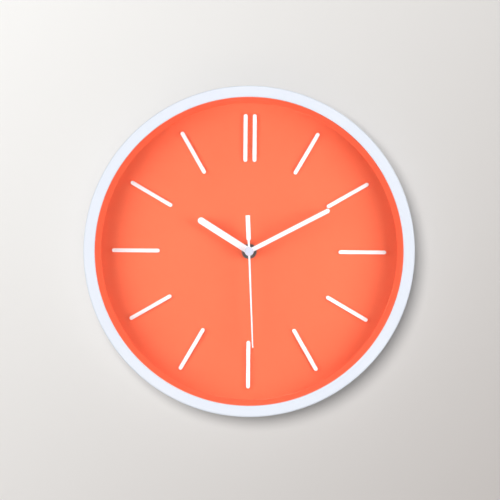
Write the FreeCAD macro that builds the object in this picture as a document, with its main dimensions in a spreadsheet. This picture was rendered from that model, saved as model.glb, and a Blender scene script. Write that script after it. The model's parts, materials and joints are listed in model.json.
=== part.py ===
import FreeCAD, Part
import math
import os
import re

import Sketcher
from FreeCAD import Placement, Rotation, Vector

# Round quartz wall clock.
# Frame: +Z up, the face looks along -Y, the wall is the plane y = 0 and the origin is where
# the hands' axis meets the wall. Depths are distances in front of the wall, so a depth d lies
# at y = -d. Sizes are in millimetres and angles in degrees, clockwise as seen from the front.

SIZES = {
    # how solids of one piece run into each other, and how cutters run past them
    "overlap": 0.2,
    "through": 1.0,
    # clear space between pieces
    "clearance": 0.3,
    "window_gap": 0.4,
    "slot_gap": 0.1,
    # rim
    "rim_radius": 150.0,
    "rim_depth": 42.0,
    "rim_wall": 2.6,
    "rim_face_width": 10.3,
    "rim_web": 2.4,
    "rim_edge_round": 1.8,
    "rim_lip_chamfer": 0.7,
    "boss_count": 8.0,
    "boss_circle": 144.6,
    "boss_radius": 2.5,
    "boss_back": 30.0,
    "boss_start": 22.5,
    # lens
    "lens_radius": 141.6,
    "lens_thickness": 2.0,
    "lens_chamfer": 0.3,
    # dial
    "dial_face": 20.0,
    "dial_thickness": 2.0,
    "dial_crease_radius": 136.2,
    "dial_crease_round": 1.2,
    "dial_mouth_radius": 139.9,
    "dial_wall": 2.0,
    "dial_hole_radius": 4.1,
    "ear_inner": 139.2,
    "ear_outer": 147.2,
    "ear_width": 8.0,
    "ear_thickness": 2.0,
    "fence_gap": 0.4,
    "fence_wall": 2.0,
    "fence_height": 2.0,
    # hour markers
    "marker_length": 43.7,
    "marker_width": 3.55,
    "marker_height": 2.0,
    "marker_centre": 103.8,
    "marker_round": 0.45,
    "marker_pair_pitch": 8.4,
    # self-tapping screws
    "screw_head_radius": 2.4,
    "screw_head_height": 1.5,
    "screw_shank_radius": 1.1,
    "screw_length": 8.0,
    "screw_tip_gap": 0.1,
    "screw_pilot_depth": 9.0,
    "screw_clearance_radius": 1.5,
    "recess_length": 2.8,
    "recess_width": 0.7,
    "recess_depth": 0.8,
    # hanger
    "hanger_height": 112.0,
    "hanger_post_x": 14.0,
    "hanger_post_radius": 3.5,
    "hanger_width": 40.0,
    "hanger_tall": 20.0,
    "hanger_back": 3.8,
    "hanger_thickness": 1.2,
    "hanger_corner": 4.0,
    "keyhole_radius": 4.5,
    "keyhole_slot_radius": 2.25,
    "keyhole_low": 4.0,
    "keyhole_rise": 4.5,
    # movement case
    "case_side": 56.0,
    "case_corner": 3.0,
    "case_wall": 1.2,
    "case_front": 17.2,
    "case_split": 14.2,
    "case_back": 1.7,
    "plate_post_radius": 1.5,
    "plate_post_x": 24.4,
    "plate_post_top": 24.4,
    "plate_post_low": 8.6,
    "plate_back": 10.2,
    "plate_thickness": 0.8,
    "plate_half_width": 26.4,
    "plate_low": 10.2,
    "cup_radius": 7.0,
    "cup_floor": 4.4,
    "bay_top": 11.4,
    "bay_wall": 0.8,
    "bay_wall_front": 15.9,
    "bay_opening_half": 25.4,
    # clamping pieces on the hands' axis
    "bush_radius": 4.0,
    "bush_bore": 2.55,
    "bush_front": 23.8,
    "bush_flange_radius": 5.5,
    "bush_chamfer": 0.4,
    "seal_thickness": 0.8,
    "seal_inner": 5.7,
    "seal_outer": 12.0,
    "washer_radius": 6.5,
    "washer_thickness": 0.5,
    "nut_radius": 6.9,
    "nut_thickness": 2.5,
    "nut_chamfer": 0.45,
    "nut_dish_inner": 4.4,
    "nut_dish_outer": 5.9,
    "nut_dish_depth": 0.6,
    "nut_notch_count": 30.0,
    "nut_notch_width": 0.5,
    "nut_notch_depth": 0.3,
    # blind bearings in the case's walls
    "bearing_floor": 0.2,
    "rear_bearing_height": 1.2,
    "third_bearing_height": 0.9,
    "knob_bearing_height": 1.2,
    # train: where each arbor stands and its shafts
    "seconds_reach": 7.0,
    "third_reach": 9.18,
    "motion_reach": 7.5,
    "intermediate_direction": 35.0,
    "rotor_direction": 60.0,
    "third_direction": 120.0,
    "motion_direction": 190.0,
    "knob_direction": 180.0,
    "rotor_reach": 6.0,
    "shaft_radius": 0.5,
    "pivot_radius": 0.3,
    "pivot_hole_radius": 0.35,
    "pivot_boss_radius": 1.2,
    "pivot_length": 0.7,
    "rear_pivot_back": 3.4,
    "rear_shoulder": 4.3,
    "running_gap": 0.05,
    "tooth_backlash": 0.03,
    # train: depths and thicknesses of the gears
    "thin_wheel": 0.7,
    "thick_wheel": 0.8,
    "rotor_pinion_back": 4.6,
    "rotor_pinion_length": 1.5,
    "rotor_shaft_end": 0.1,
    "intermediate_back": 5.0,
    "intermediate_pinion_length": 2.1,
    "intermediate_front": 10.1,
    "seconds_back": 6.6,
    "seconds_pinion_length": 2.3,
    "third_back": 8.1,
    "third_pinion_back": 11.3,
    "third_pinion_length": 1.6,
    "third_front": 15.0,
    "centre_wheel_front": 12.6,
    "centre_hub_back": 11.3,
    "centre_hub_radius": 2.8,
    "clutch_gap": 0.1,
    "clutch_thickness": 0.3,
    "clutch_reach": 2.2,
    "cannon_pinion_back": 13.1,
    "cannon_pinion_length": 1.2,
    "motion_back": 13.4,
    "motion_pinion_length": 1.5,
    "hour_wheel_back": 14.8,
    "hour_wheel_thickness": 1.0,
    # coaxial tubes
    "arbor_radius": 1.6,
    "arbor_front": 30.4,
    "arbor_back": 10.35,
    "hour_tube_radius": 2.5,
    "hour_tube_front": 27.4,
    "second_shaft_front": 32.2,
    # hands
    "hour_hand_back": 26.6,
    "hour_hand_thickness": 0.6,
    "hour_hand_width": 6.0,
    "hour_hand_length": 55.0,
    "hour_hub_radius": 4.1,
    "minute_hand_back": 29.2,
    "minute_hand_thickness": 0.6,
    "minute_hand_width": 4.0,
    "minute_hand_length": 82.3,
    "minute_hub_radius": 3.9,
    "collet_drop": 1.0,
    "collet_wall": 0.7,
    "hand_edge_round": 0.15,
    "second_hand_back": 31.7,
    "second_hand_thickness": 0.4,
    "second_hand_length": 87.9,
    "second_hand_root_width": 1.8,
    "second_hand_tip_width": 1.1,
    "second_hub_radius": 3.75,
    "second_tail_root": 0.5,
    "second_tail_neck_width": 2.0,
    "second_tail_neck_end": 9.7,
    "second_tail_shoulder_end": 11.1,
    "second_tail_width": 4.0,
    "second_tail_length": 32.8,
    "second_cap_radius": 4.15,
    "second_cap_height": 1.1,
    "second_cap_chamfer": 0.5,
    "second_tube_radius": 1.1,
    "second_tube_back": 30.9,
    # rest position of the hands
    "hour_hand_angle": 302.1,
    "minute_hand_angle": 62.2,
    "second_hand_angle": 177.4,
    # motor
    "stator_back": 9.2,
    "stator_thickness": 1.0,
    "stator_left": 4.2,
    "stator_right": 25.6,
    "stator_low": 4.8,
    "stator_high": 13.6,
    "stator_leg_width": 3.6,
    "stator_leg_top": 22.0,
    "stator_hole_radius": 3.1,
    "core_middle": 20.0,
    "core_half_height": 2.0,
    "core_depth": 8.7,
    "core_low": 18.0,
    "core_thickness": 1.0,
    "bobbin_left": 8.6,
    "bobbin_right": 21.4,
    "bobbin_flange": 0.8,
    "bobbin_half_height": 4.5,
    "bobbin_half_depth": 4.3,
    "bobbin_tube_wall": 0.6,
    "winding_half_height": 4.1,
    "winding_half_depth": 3.9,
    "winding_round": 2.4,
    "magnet_radius": 2.8,
    "magnet_back": 8.2,
    "magnet_front": 10.0,
    # circuit
    "board_left": 25.5,
    "board_right": 2.0,
    "board_low": 17.0,
    "board_high": 25.8,
    "board_thickness": 1.0,
    "board_back": 9.2,
    "chip_x": 8.0,
    "chip_height": 21.4,
    "chip_radius": 2.5,
    "chip_thickness": 0.9,
    "chip_round": 0.72,
    "crystal_x": 22.0,
    "crystal_height": 21.4,
    "crystal_length": 6.0,
    "crystal_radius": 1.0,
    # battery and its contacts
    "battery_radius": 7.1,
    "battery_half_length": 25.0,
    "battery_nub_length": 1.0,
    "battery_nub_radius": 2.75,
    "battery_nub_chamfer": 0.2,
    "battery_sleeve": 0.15,
    "battery_height": 19.1,
    "battery_depth": 8.85,
    "battery_end_round": 0.6,
    "contact_thickness": 0.3,
    "contact_width": 3.0,
    "contact_foot": 4.0,
    "contact_wall": 26.75,
    "contact_face": 26.45,
    "contact_top": 26.4,
    "contact_tab": 3.0,
    "contact_negative_x": 21.5,
    "contact_positive_x": 4.0,
    "contact_dimple_radius": 1.4,
    "contact_dimple_height": 1.3,
    # set knob
    "knob_radius": 6.5,
    "knob_back": 2.0,
    "knob_thickness": 2.1,
    "knob_stem_radius": 1.5,
    "knob_pivot_radius": 0.6,
    "knob_flute_count": 24.0,
    "knob_flute_radius": 0.5,
    "knob_dish_radius": 20.0,
    "knob_dish_depth": 0.5,
    "knob_stem_front": 14.4,
    "knob_pinion_back": 13.2,
    "knob_pinion_length": 1.2,
    "knob_pivot_back": 14.0,
    "knob_pivot_front": 15.6,
}

HOURS_SINGLE = range(1, 12)
DEGREES_PER_HOUR = 30.0
FULL_TURN = 360.0
TOLERANCE = 1e-3
PRESSURE_ANGLE = math.radians(20.0)

# Tooth height above and below the pitch circle, in modules. The wheels' tips are short, so that
# they clear the pinions' undercut, and the pinions' roots are shallow to match.
PINION_TOOTH = (1.0, 0.8)
WHEEL_TOOTH = (0.5, 1.25)

# Teeth and module of each meshing pair, small gear first.
ROTOR_PAIR = {"small": 8, "large": 40, "module": 0.25}
SECONDS_PAIR = {"small": 8, "large": 48, "module": 0.25}
THIRD_PAIR = {"small": 8, "large": 60, "module": 0.27}
CENTRE_PAIR = {"small": 8, "large": 64, "module": 0.255}
MOTION_PAIR = {"small": 12, "large": 36, "module": 0.3125}
HOUR_PAIR = {"small": 10, "large": 40, "module": 0.3}

document = FreeCAD.newDocument("WallClock")
sub_parts = []


# ---------------------------------------------------------------- sheet and bindings

def fill_sheet():
    """Write the driving sizes into the spreadsheet, one alias to a row."""
    sheet = document.addObject("Spreadsheet::Sheet", "Sizes")
    for row, (alias, value) in enumerate(SIZES.items(), start=1):
        sheet.set("A%d" % row, alias)
        sheet.set("B%d" % row, str(value))
        sheet.setAlias("B%d" % row, alias)
    document.recompute()
    return sheet


def bound(expression):
    """Turn bare size names in an expression into references to the sheet."""
    return re.sub(r"\b([a-z]\w*)\b(?!\()", r"Sizes.\1", str(expression))


def bind(item, **properties):
    """Bind properties of an object to the sheet; a double underscore stands for a dot."""
    for name, expression in properties.items():
        item.setExpression(name.replace("__", "."), bound(expression))


def value(expression):
    """Work out an expression of size names as a number."""
    return float(sheet.evalExpression(bound(expression)))


def new_body(label):
    """Start a body that becomes one sub-part."""
    body = document.addObject("PartDesign::Body", label)
    body.Label = label
    body.AllowCompound = True
    body.Placement = Placement()
    sub_parts.append(body)
    return body


def origin_item(body, role):
    """Find a plane or an axis of a body's own origin."""
    return next(item for item in body.Origin.OriginFeatures if item.Role == role)


def new_sketch(body, plane, depth="0"):
    """Attach a sketch to the body's plane; on XZ_Plane it stands at a depth before the wall."""
    sketch = body.newObject("Sketcher::SketchObject", body.Label + "_sketch")
    sketch.AttachmentSupport = [(origin_item(body, plane), "")]
    sketch.MapMode = "FlatFace"
    if plane == "XZ_Plane":
        bind(sketch, AttachmentOffset__Base__z=depth)
    return sketch


def pin_point(sketch, geometry, point, x, y):
    """Fix one point of a sketch at a bound place."""
    for kind, expression in (("DistanceX", x), ("DistanceY", y)):
        number = sketch.addConstraint(
            Sketcher.Constraint(kind, -1, 1, geometry, point, value(expression)))
        sketch.setExpression("Constraints[%d]" % number, bound(expression))


def draw_outline(sketch, corners):
    """Draw a closed outline of straight edges through bound corners."""
    spots = [Vector(value(x), value(y), 0) for x, y in corners]
    edges = [sketch.addGeometry(Part.LineSegment(spot, spots[(i + 1) % len(spots)]), False)
             for i, spot in enumerate(spots)]
    for i, edge in enumerate(edges):
        sketch.addConstraint(
            Sketcher.Constraint("Coincident", edge, 2, edges[(i + 1) % len(edges)], 1))
    for edge, (x, y) in zip(edges, corners):
        pin_point(sketch, edge, 1, x, y)


def draw_circle(sketch, radius, x="0", y="0"):
    """Draw a circle of bound radius and centre."""
    circle = Part.Circle(Vector(value(x), value(y), 0), Vector(0, 0, 1), value(radius))
    number = sketch.addGeometry(circle, False)
    pin_point(sketch, number, 3, x, y)
    limit = sketch.addConstraint(Sketcher.Constraint("Radius", number, value(radius)))
    sketch.setExpression("Constraints[%d]" % limit, bound(radius))


def draw_slot(sketch, radius, x, low, high):
    """Draw an upright slot with round ends whose centres lie at low and high."""
    arcs = []
    for centre_y, start in ((high, 0.0), (low, math.pi)):
        circle = Part.Circle(Vector(value(x), value(centre_y), 0), Vector(0, 0, 1), value(radius))
        arcs.append(sketch.addGeometry(Part.ArcOfCircle(circle, start, start + math.pi), False))
        pin_point(sketch, arcs[-1], 3, x, centre_y)
        limit = sketch.addConstraint(Sketcher.Constraint("Radius", arcs[-1], value(radius)))
        sketch.setExpression("Constraints[%d]" % limit, bound(radius))
    sides = []
    for sign, first, last in ((-1, high, low), (1, low, high)):
        edge_x = value(x) + sign * value(radius)
        line = Part.LineSegment(Vector(edge_x, value(first), 0), Vector(edge_x, value(last), 0))
        sides.append(sketch.addGeometry(line, False))
    top, foot = arcs
    left, right = sides
    for first, second in ((top, left), (left, foot), (foot, right), (right, top)):
        sketch.addConstraint(Sketcher.Constraint("Tangent", first, 2, second, 1))


# ---------------------------------------------------------------- features

def revolve(body, corners):
    """Turn an outline of (radius, depth) corners about the hands' direction."""
    sketch = new_sketch(body, "XY_Plane")
    draw_outline(sketch, [(radius, "-(%s)" % depth) for radius, depth in corners])
    feature = body.newObject("PartDesign::Revolution", body.Label + "_turned")
    feature.Profile = sketch
    feature.ReferenceAxis = (sketch, ["V_Axis"])
    feature.Angle = FULL_TURN


def pad(body, back, thickness, draw):
    """Raise the outline that draw makes from a depth towards the front."""
    sketch = new_sketch(body, "XZ_Plane", back)
    draw(sketch)
    feature = body.newObject("PartDesign::Pad", body.Label + "_pad")
    feature.Profile = sketch
    bind(feature, Length=thickness)
    return feature


def pocket(body, back, depth, draw):
    """Cut the outline that draw makes from a depth towards the front."""
    document.recompute()
    volume = body.Shape.Volume
    sketch = new_sketch(body, "XZ_Plane", back)
    draw(sketch)
    feature = body.newObject("PartDesign::Pocket", body.Label + "_pocket")
    feature.Profile = sketch
    feature.Reversed = True
    bind(feature, Length=depth)
    document.recompute()
    if body.Shape.Volume >= volume:
        raise RuntimeError("%s: a pocket cuts nothing" % body.Label)
    return feature


def polar(body, originals, count):
    """Repeat features round the hands' axis."""
    document.recompute()
    pattern = body.newObject("PartDesign::PolarPattern", body.Label + "_round")
    pattern.Originals = originals
    pattern.Axis = (origin_item(body, "Y_Axis"), [""])
    pattern.Angle = FULL_TURN
    bind(pattern, Occurrences=count)
    body.Tip = pattern
    document.recompute()


def mirror(body, originals):
    """Repeat features on the other side of the upright middle plane."""
    document.recompute()
    mirrored = body.newObject("PartDesign::Mirrored", body.Label + "_mirrored")
    mirrored.Originals = originals
    mirrored.MirrorPlane = (origin_item(body, "YZ_Plane"), [""])
    body.Tip = mirrored
    document.recompute()


def soften(body, kind, size, chosen):
    """Round or chamfer the edges that chosen picks by their box."""
    document.recompute()
    base = body.Tip
    names = ["Edge%d" % (i + 1) for i, edge in enumerate(base.Shape.Edges)
             if chosen(edge.BoundBox)]
    feature = body.newObject("PartDesign::" + kind, body.Label + "_" + kind.lower())
    feature.Base = (base, names)
    bind(feature, **{"Radius" if kind == "Fillet" else "Size": size})
    document.recompute()


def at_depth(depth):
    """Pick the edges that lie flat at a depth."""
    place = -value(depth)
    return lambda box: abs(box.YMin - place) < TOLERANCE and abs(box.YMax - place) < TOLERANCE


def ring_at(radius, depth):
    """Pick the circular edge of a radius at a depth."""
    flat = at_depth(depth)
    return lambda box: flat(box) and abs(box.XMax - value(radius)) < TOLERANCE


def upright_edges(half_width):
    """Pick the edges that run along the depth at the corners of a plate."""
    reach = value(half_width) - TOLERANCE
    return lambda box: max(box.XLength, box.ZLength) < TOLERANCE and abs(box.XMin) > reach


def rectangle(left, low, right, high):
    """Give a draw function for an upright rectangle."""
    corners = [(left, low), (right, low), (right, high), (left, high)]
    return lambda sketch: draw_outline(sketch, corners)


def circle(radius, x="0", y="0"):
    """Give a draw function for a circle."""
    return lambda sketch: draw_circle(sketch, radius, x, y)


def square(side):
    """Give a draw function for a centred square."""
    half = "%s / 2" % side
    return rectangle("-" + half, "-" + half, half, half)


def place_at(body, x="0", depth="0", height="0"):
    """Stand a body at a bound place."""
    bind(body, Placement__Base__x=x, Placement__Base__y="-(%s)" % depth,
         Placement__Base__z=height)


def turn_to(body, clockwise):
    """Turn a body about the hands' axis, clockwise as seen from the front."""
    body.Placement = Placement(Vector(), Rotation(Vector(0, 1, 0), clockwise))


# ---------------------------------------------------------------- rim, lens and dial

def make_rim():
    """Outer frame: flat front ring, outer wall and the bosses that take the dial's screws."""
    body = new_body("rim")
    inner = "rim_radius - rim_face_width"
    web_back = "rim_depth - rim_web"
    revolve(body, [
        ("rim_radius", "0"),
        ("rim_radius", "rim_depth"),
        (inner, "rim_depth"),
        (inner, web_back),
        ("rim_radius - rim_wall", web_back),
        ("rim_radius - rim_wall", "0"),
    ])
    soften(body, "Fillet", "rim_edge_round", ring_at("rim_radius", "rim_depth"))
    soften(body, "Chamfer", "rim_lip_chamfer", ring_at(inner, "rim_depth"))
    boss = pad(body, "boss_back", "rim_depth - rim_web - boss_back + overlap",
               circle("boss_radius", "boss_x", "boss_z"))
    hole = pocket(body, "boss_back", "screw_length - ear_thickness",
                  circle("screw_shank_radius", "boss_x", "boss_z"))
    polar(body, [boss, hole], "boss_count")


def make_lens():
    """Flat clear disc that the dial's mouth presses against the back of the rim's web."""
    body = new_body("lens")
    front = "rim_depth - rim_web"
    back = front + " - lens_thickness"
    inner = "lens_radius - lens_chamfer"
    revolve(body, [
        ("0", back),
        (inner, back),
        ("lens_radius", back + " + lens_chamfer"),
        ("lens_radius", front + " - lens_chamfer"),
        (inner, front),
        ("0", front),
    ])


def make_dial():
    """Dish: a flat face inside a sloping wall, with screw ears and the hanger's posts."""
    body = new_body("dial")
    mouth = "rim_depth - rim_web - lens_thickness"
    back = "dial_face - dial_thickness"
    revolve(body, [
        ("dial_hole_radius", back),
        ("dial_crease_radius + dial_wall", back),
        ("dial_mouth_radius + dial_wall", mouth),
        ("dial_mouth_radius", mouth),
        ("dial_crease_radius", "dial_face"),
        ("dial_hole_radius", "dial_face"),
    ])
    soften(body, "Fillet", "dial_crease_round", ring_at("dial_crease_radius", "dial_face"))
    ear_back = "boss_back - ear_thickness"
    ear = pad(body, ear_back, "ear_thickness", ear_outline())
    hole = pocket(body, ear_back, "ear_thickness",
                  circle("screw_clearance_radius", "boss_x", "boss_z"))
    polar(body, [ear, hole], "boss_count")
    post_back = "hanger_back + hanger_thickness"
    post = pad(body, post_back, back + " - hanger_back - hanger_thickness + overlap",
               circle("hanger_post_radius", "hanger_post_x", "hanger_height"))
    pilot = pocket(body, post_back, "screw_pilot_depth",
                   circle("screw_shank_radius", "hanger_post_x", "hanger_height"))
    mirror(body, [post, pilot])
    inner = "case_side / 2 + fence_gap"
    outer = inner + " + fence_wall"

    def fence(sketch):
        """Draw the low square frame that the movement's case stands in."""
        for half in (outer, inner):
            rectangle("-(%s)" % half, "-(%s)" % half, half, half)(sketch)

    pad(body, back + " - fence_height", "fence_height + overlap", fence)


def ear_outline():
    """Give a draw function for the first screw ear, turned to its boss's direction."""
    half = "ear_width / 2"
    corners = [("ear_inner", "-" + half), ("ear_outer", "-" + half),
               ("ear_outer", half), ("ear_inner", half)]
    turned = [("(%s) * cos(boss_start) - (%s) * sin(boss_start)" % (reach, side),
               "(%s) * sin(boss_start) + (%s) * cos(boss_start)" % (reach, side))
              for reach, side in corners]
    return lambda sketch: draw_outline(sketch, turned)


def make_marker(label, x, clockwise):
    """One raised bar with round ends, lying on the dial's face."""
    body = new_body(label)
    reach = "(marker_length - marker_width) / 2"
    pad(body, "dial_face", "marker_height",
        lambda sketch: draw_slot(sketch, "marker_width / 2", x,
                                 "marker_centre - " + reach, "marker_centre + " + reach))
    soften(body, "Fillet", "marker_round", at_depth("dial_face + marker_height"))
    turn_to(body, clockwise)


def make_markers():
    """One bar at every hour and two side by side at twelve."""
    make_marker("marker_12_left", "-marker_pair_pitch / 2", 0.0)
    make_marker("marker_12_right", "marker_pair_pitch / 2", 0.0)
    for hour in HOURS_SINGLE:
        make_marker("marker_%02d" % hour, "0", hour * DEGREES_PER_HOUR)


# ---------------------------------------------------------------- screws and hanger

def cross(x, y):
    """Give a draw function for a cross recess centred at a place."""
    long = "recess_length / 2"
    slim = "recess_width / 2"
    quarter = [(long, "-" + slim), (long, slim), (slim, slim)]
    corners = []
    for _ in range(4):
        corners += quarter
        quarter = [("-(%s)" % b, a) for a, b in quarter]
    placed = [("%s + %s" % (x, a), "%s + %s" % (y, b)) for a, b in corners]
    return lambda sketch: draw_outline(sketch, placed)


def screw_features(body, x, y, seat):
    """Pan head screw with a cross recess, driven in from behind; seat is under its head."""
    head_back = "%s - screw_head_height" % seat
    head = pad(body, head_back, "screw_head_height", circle("screw_head_radius", x, y))
    shank = pad(body, seat, "screw_length - screw_tip_gap", circle("screw_shank_radius", x, y))
    recess = pocket(body, head_back, "recess_depth", cross(x, y))
    return [head, shank, recess]


def make_dial_screws():
    """The screws that pull the dial and the lens against the rim."""
    body = new_body("dial_screws")
    features = screw_features(body, "boss_x", "boss_z", "boss_back - ear_thickness")
    polar(body, features, "boss_count")


def make_hanger_screws():
    """The two screws that hold the hanger plate on its posts."""
    body = new_body("hanger_screws")
    features = screw_features(body, "hanger_post_x", "hanger_height", "hanger_back")
    mirror(body, features)


def make_hanger_plate():
    """Steel plate with a keyhole: the screw's head goes in below and the neck slides up."""
    body = new_body("hanger_plate")
    half = "hanger_width / 2"
    pad(body, "hanger_back", "hanger_thickness",
        rectangle("-" + half, "hanger_height - hanger_tall / 2",
                  half, "hanger_height + hanger_tall / 2"))
    soften(body, "Fillet", "hanger_corner", upright_edges(half))
    entry = "hanger_height - keyhole_low"
    pocket(body, "hanger_back", "hanger_thickness", circle("keyhole_radius", "0", entry))
    pocket(body, "hanger_back", "hanger_thickness",
           lambda sketch: draw_slot(sketch, "keyhole_slot_radius", "0", entry,
                                    entry + " + keyhole_low + keyhole_rise"))
    hole = pocket(body, "hanger_back", "hanger_thickness",
                  circle("screw_shank_radius", "hanger_post_x", "hanger_height"))
    mirror(body, [hole])


# ---------------------------------------------------------------- clamping pieces

def ring(label, inner, outer, back, front):
    """A plain turned ring about the hands' axis."""
    body = new_body(label)
    revolve(body, [(inner, back), (outer, back), (outer, front), (inner, front)])
    return body


def make_threaded_bush():
    """Brass bush: flange on the case, threaded neck through the dial, bore for the hour tube."""
    body = new_body("threaded_bush")
    flange_front = "case_front + seal_thickness"
    revolve(body, [
        ("bush_bore", "case_front - case_wall"),
        ("bush_radius", "case_front - case_wall"),
        ("bush_radius", "case_front"),
        ("bush_flange_radius", "case_front"),
        ("bush_flange_radius", flange_front),
        ("bush_radius", flange_front),
        ("bush_radius", "bush_front - bush_chamfer"),
        ("bush_radius - bush_chamfer", "bush_front"),
        ("bush_bore", "bush_front"),
    ])


def make_clamping_rings():
    """Rubber seal behind the dial and brass washer in front of it."""
    ring("rubber_washer", "seal_inner", "seal_outer", "case_front", "case_front + seal_thickness")
    ring("brass_washer", "bush_radius + running_gap", "washer_radius", "dial_face",
         "dial_face + washer_thickness")


def make_hand_nut():
    """Round nut with a dished front and fine grip notches round its edge."""
    body = new_body("hand_nut")
    back = "dial_face + washer_thickness"
    front = back + " + nut_thickness"
    revolve(body, [
        ("bush_radius", back),
        ("nut_radius", back),
        ("nut_radius", front + " - nut_chamfer"),
        ("nut_radius - nut_chamfer", front),
        ("nut_dish_outer", front),
        ("nut_dish_inner", front + " - nut_dish_depth"),
        ("bush_radius", front + " - nut_dish_depth"),
    ])
    notch = pocket(body, back, "nut_thickness",
                   rectangle("nut_radius - nut_notch_depth", "-nut_notch_width / 2",
                             "nut_radius + through", "nut_notch_width / 2"))
    polar(body, [notch], "nut_notch_count")


# ---------------------------------------------------------------- derived places

def derived_places():
    """Add the places that follow from a direction and a reach to the sheet."""
    places = {
        "boss_x": "boss_circle * cos(boss_start)",
        "boss_z": "boss_circle * sin(boss_start)",
        "intermediate_x": "seconds_reach * cos(intermediate_direction)",
        "intermediate_z": "seconds_reach * sin(intermediate_direction)",
        "rotor_x": "intermediate_x + rotor_reach * cos(rotor_direction)",
        "rotor_z": "intermediate_z + rotor_reach * sin(rotor_direction)",
        "third_x": "third_reach * cos(third_direction)",
        "third_z": "third_reach * sin(third_direction)",
        "motion_x": "motion_reach * cos(motion_direction)",
        "motion_z": "motion_reach * sin(motion_direction)",
        "knob_x": "motion_x + motion_reach * cos(knob_direction)",
        "knob_z": "motion_z + motion_reach * sin(knob_direction)",
    }
    for row, (alias, formula) in enumerate(places.items(), start=len(SIZES) + 1):
        sheet.set("A%d" % row, alias)
        sheet.set("B%d" % row, "=" + formula)
        sheet.setAlias("B%d" % row, alias)
    document.recompute()


# ---------------------------------------------------------------- movement case

def front_bearing(body, x, z, height, hole_radius, boss_radius):
    """Boss on the front wall's inside with a blind hole for a front pivot."""
    back = "case_front - case_wall - " + height
    pad(body, back, height, circle(boss_radius, x, z))
    pocket(body, back, height + " - bearing_floor", circle(hole_radius, x, z))


def make_front_case():
    """Front half of the movement's case, with the bush's hole, posts and front bearings."""
    body = new_body("front_case")
    inside = "case_front - case_wall"
    pad(body, "case_split", "case_front - case_split", square("case_side"))
    soften(body, "Fillet", "case_corner", upright_edges("case_side / 2"))
    pocket(body, "case_split", inside + " - case_split", square("(case_side - 2 * case_wall)"))
    pocket(body, inside, "case_wall", circle("bush_radius"))
    post_back = "plate_back + plate_thickness"
    for x in ("-plate_post_x", "plate_post_x"):
        for z in ("plate_post_top", "-plate_post_low"):
            pad(body, post_back, "case_front - case_wall / 2 - plate_back - plate_thickness",
                circle("plate_post_radius", x, z))
    stud_back = "centre_wheel_front + clearance"
    pad(body, stud_back, "case_front - case_wall / 2 - centre_wheel_front - clearance",
        circle("shaft_radius", "motion_x", "motion_z"))
    front_bearing(body, "third_x", "third_z", "third_bearing_height", "pivot_hole_radius",
                  "pivot_boss_radius")
    front_bearing(body, "knob_x", "knob_z", "knob_bearing_height",
                  "knob_pivot_radius + running_gap", "knob_stem_radius")


def make_middle_plate():
    """Thin plate between the two layers of the train, with bearings and the coil's window."""
    body = new_body("middle_plate")
    pad(body, "plate_back", "plate_thickness",
        rectangle("-plate_half_width", "-plate_low", "plate_half_width", "plate_half_width"))
    holes = (
        ("arbor_radius + running_gap", "0", "0"),
        ("pivot_boss_radius + window_gap", "third_x", "third_z"),
        ("knob_stem_radius + clearance", "knob_x", "knob_z"),
        ("pivot_hole_radius", "intermediate_x", "intermediate_z"),
        ("pivot_hole_radius", "rotor_x", "rotor_z"),
    )
    for radius, x, z in holes:
        pocket(body, "plate_back", "plate_thickness", circle(radius, x, z))
    pocket(body, "plate_back", "plate_thickness",
           rectangle("bobbin_left - window_gap", "core_middle - bobbin_half_height - window_gap",
                     "bobbin_right + window_gap", "core_middle + bobbin_half_height + window_gap"))


def make_rear_case():
    """Rear half of the case: battery bay, cup for the set knob and rear bearings."""
    body = new_body("rear_case")
    inner = "case_side / 2 - case_wall"
    floor_front = "case_back + case_wall"
    pad(body, "case_back", "case_split - case_back", square("case_side"))
    soften(body, "Fillet", "case_corner", upright_edges("case_side / 2"))
    pocket(body, floor_front, "case_split - case_back - case_wall",
           square("(case_side - 2 * case_wall)"))
    pad(body, floor_front + " - overlap", "bay_wall_front - case_back - case_wall + overlap",
        rectangle("-(%s)" % inner, "-bay_top", inner, "-bay_top + bay_wall"))
    for left, right in (("-(%s)" % inner, "-contact_face"), ("contact_face", inner)):
        pocket(body, "board_back - contact_width - slot_gap", "contact_width + 2 * slot_gap",
               rectangle(left, "-bay_top", right, "-bay_top + bay_wall"))
    pocket(body, "case_back", "case_wall",
           rectangle("-bay_opening_half", "-battery_height - battery_radius - clearance",
                     "bay_opening_half", "-battery_height + battery_radius + clearance"))
    pad(body, floor_front + " - overlap", "cup_floor - case_back + overlap",
        circle("cup_radius + case_wall", "knob_x", "knob_z"))
    pocket(body, "case_back", "cup_floor - case_back", circle("cup_radius", "knob_x", "knob_z"))
    pocket(body, "cup_floor", "case_wall + overlap",
           circle("knob_stem_radius + running_gap", "knob_x", "knob_z"))
    for name in ("rotor", "intermediate", "third"):
        rear_bearing(body, name + "_x", name + "_z")
    rear_bearing(body, "0", "0")


def rear_bearing(body, x, z):
    """Boss on the rear wall's inside with a blind hole for a rear pivot."""
    inside = "case_back + case_wall"
    pad(body, inside + " - overlap", "rear_bearing_height + overlap",
        circle("pivot_boss_radius", x, z))
    pocket(body, inside + " + bearing_floor", "rear_bearing_height - bearing_floor",
           circle("pivot_hole_radius", x, z))


# ---------------------------------------------------------------- motor and circuit

def make_stator():
    """Soft iron yoke with the rotor's hole and two legs that carry the coil's core."""
    body = new_body("stator")
    left_leg = "stator_left + stator_leg_width"
    right_leg = "stator_right - stator_leg_width"
    pad(body, "stator_back", "stator_thickness", lambda sketch: draw_outline(sketch, [
        ("stator_left", "stator_low"),
        ("stator_right", "stator_low"),
        ("stator_right", "stator_leg_top"),
        (right_leg, "stator_leg_top"),
        (right_leg, "stator_high"),
        (left_leg, "stator_high"),
        (left_leg, "stator_leg_top"),
        ("stator_left", "stator_leg_top"),
    ]))
    pocket(body, "stator_back", "stator_thickness",
           circle("stator_hole_radius", "rotor_x", "rotor_z"))


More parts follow.
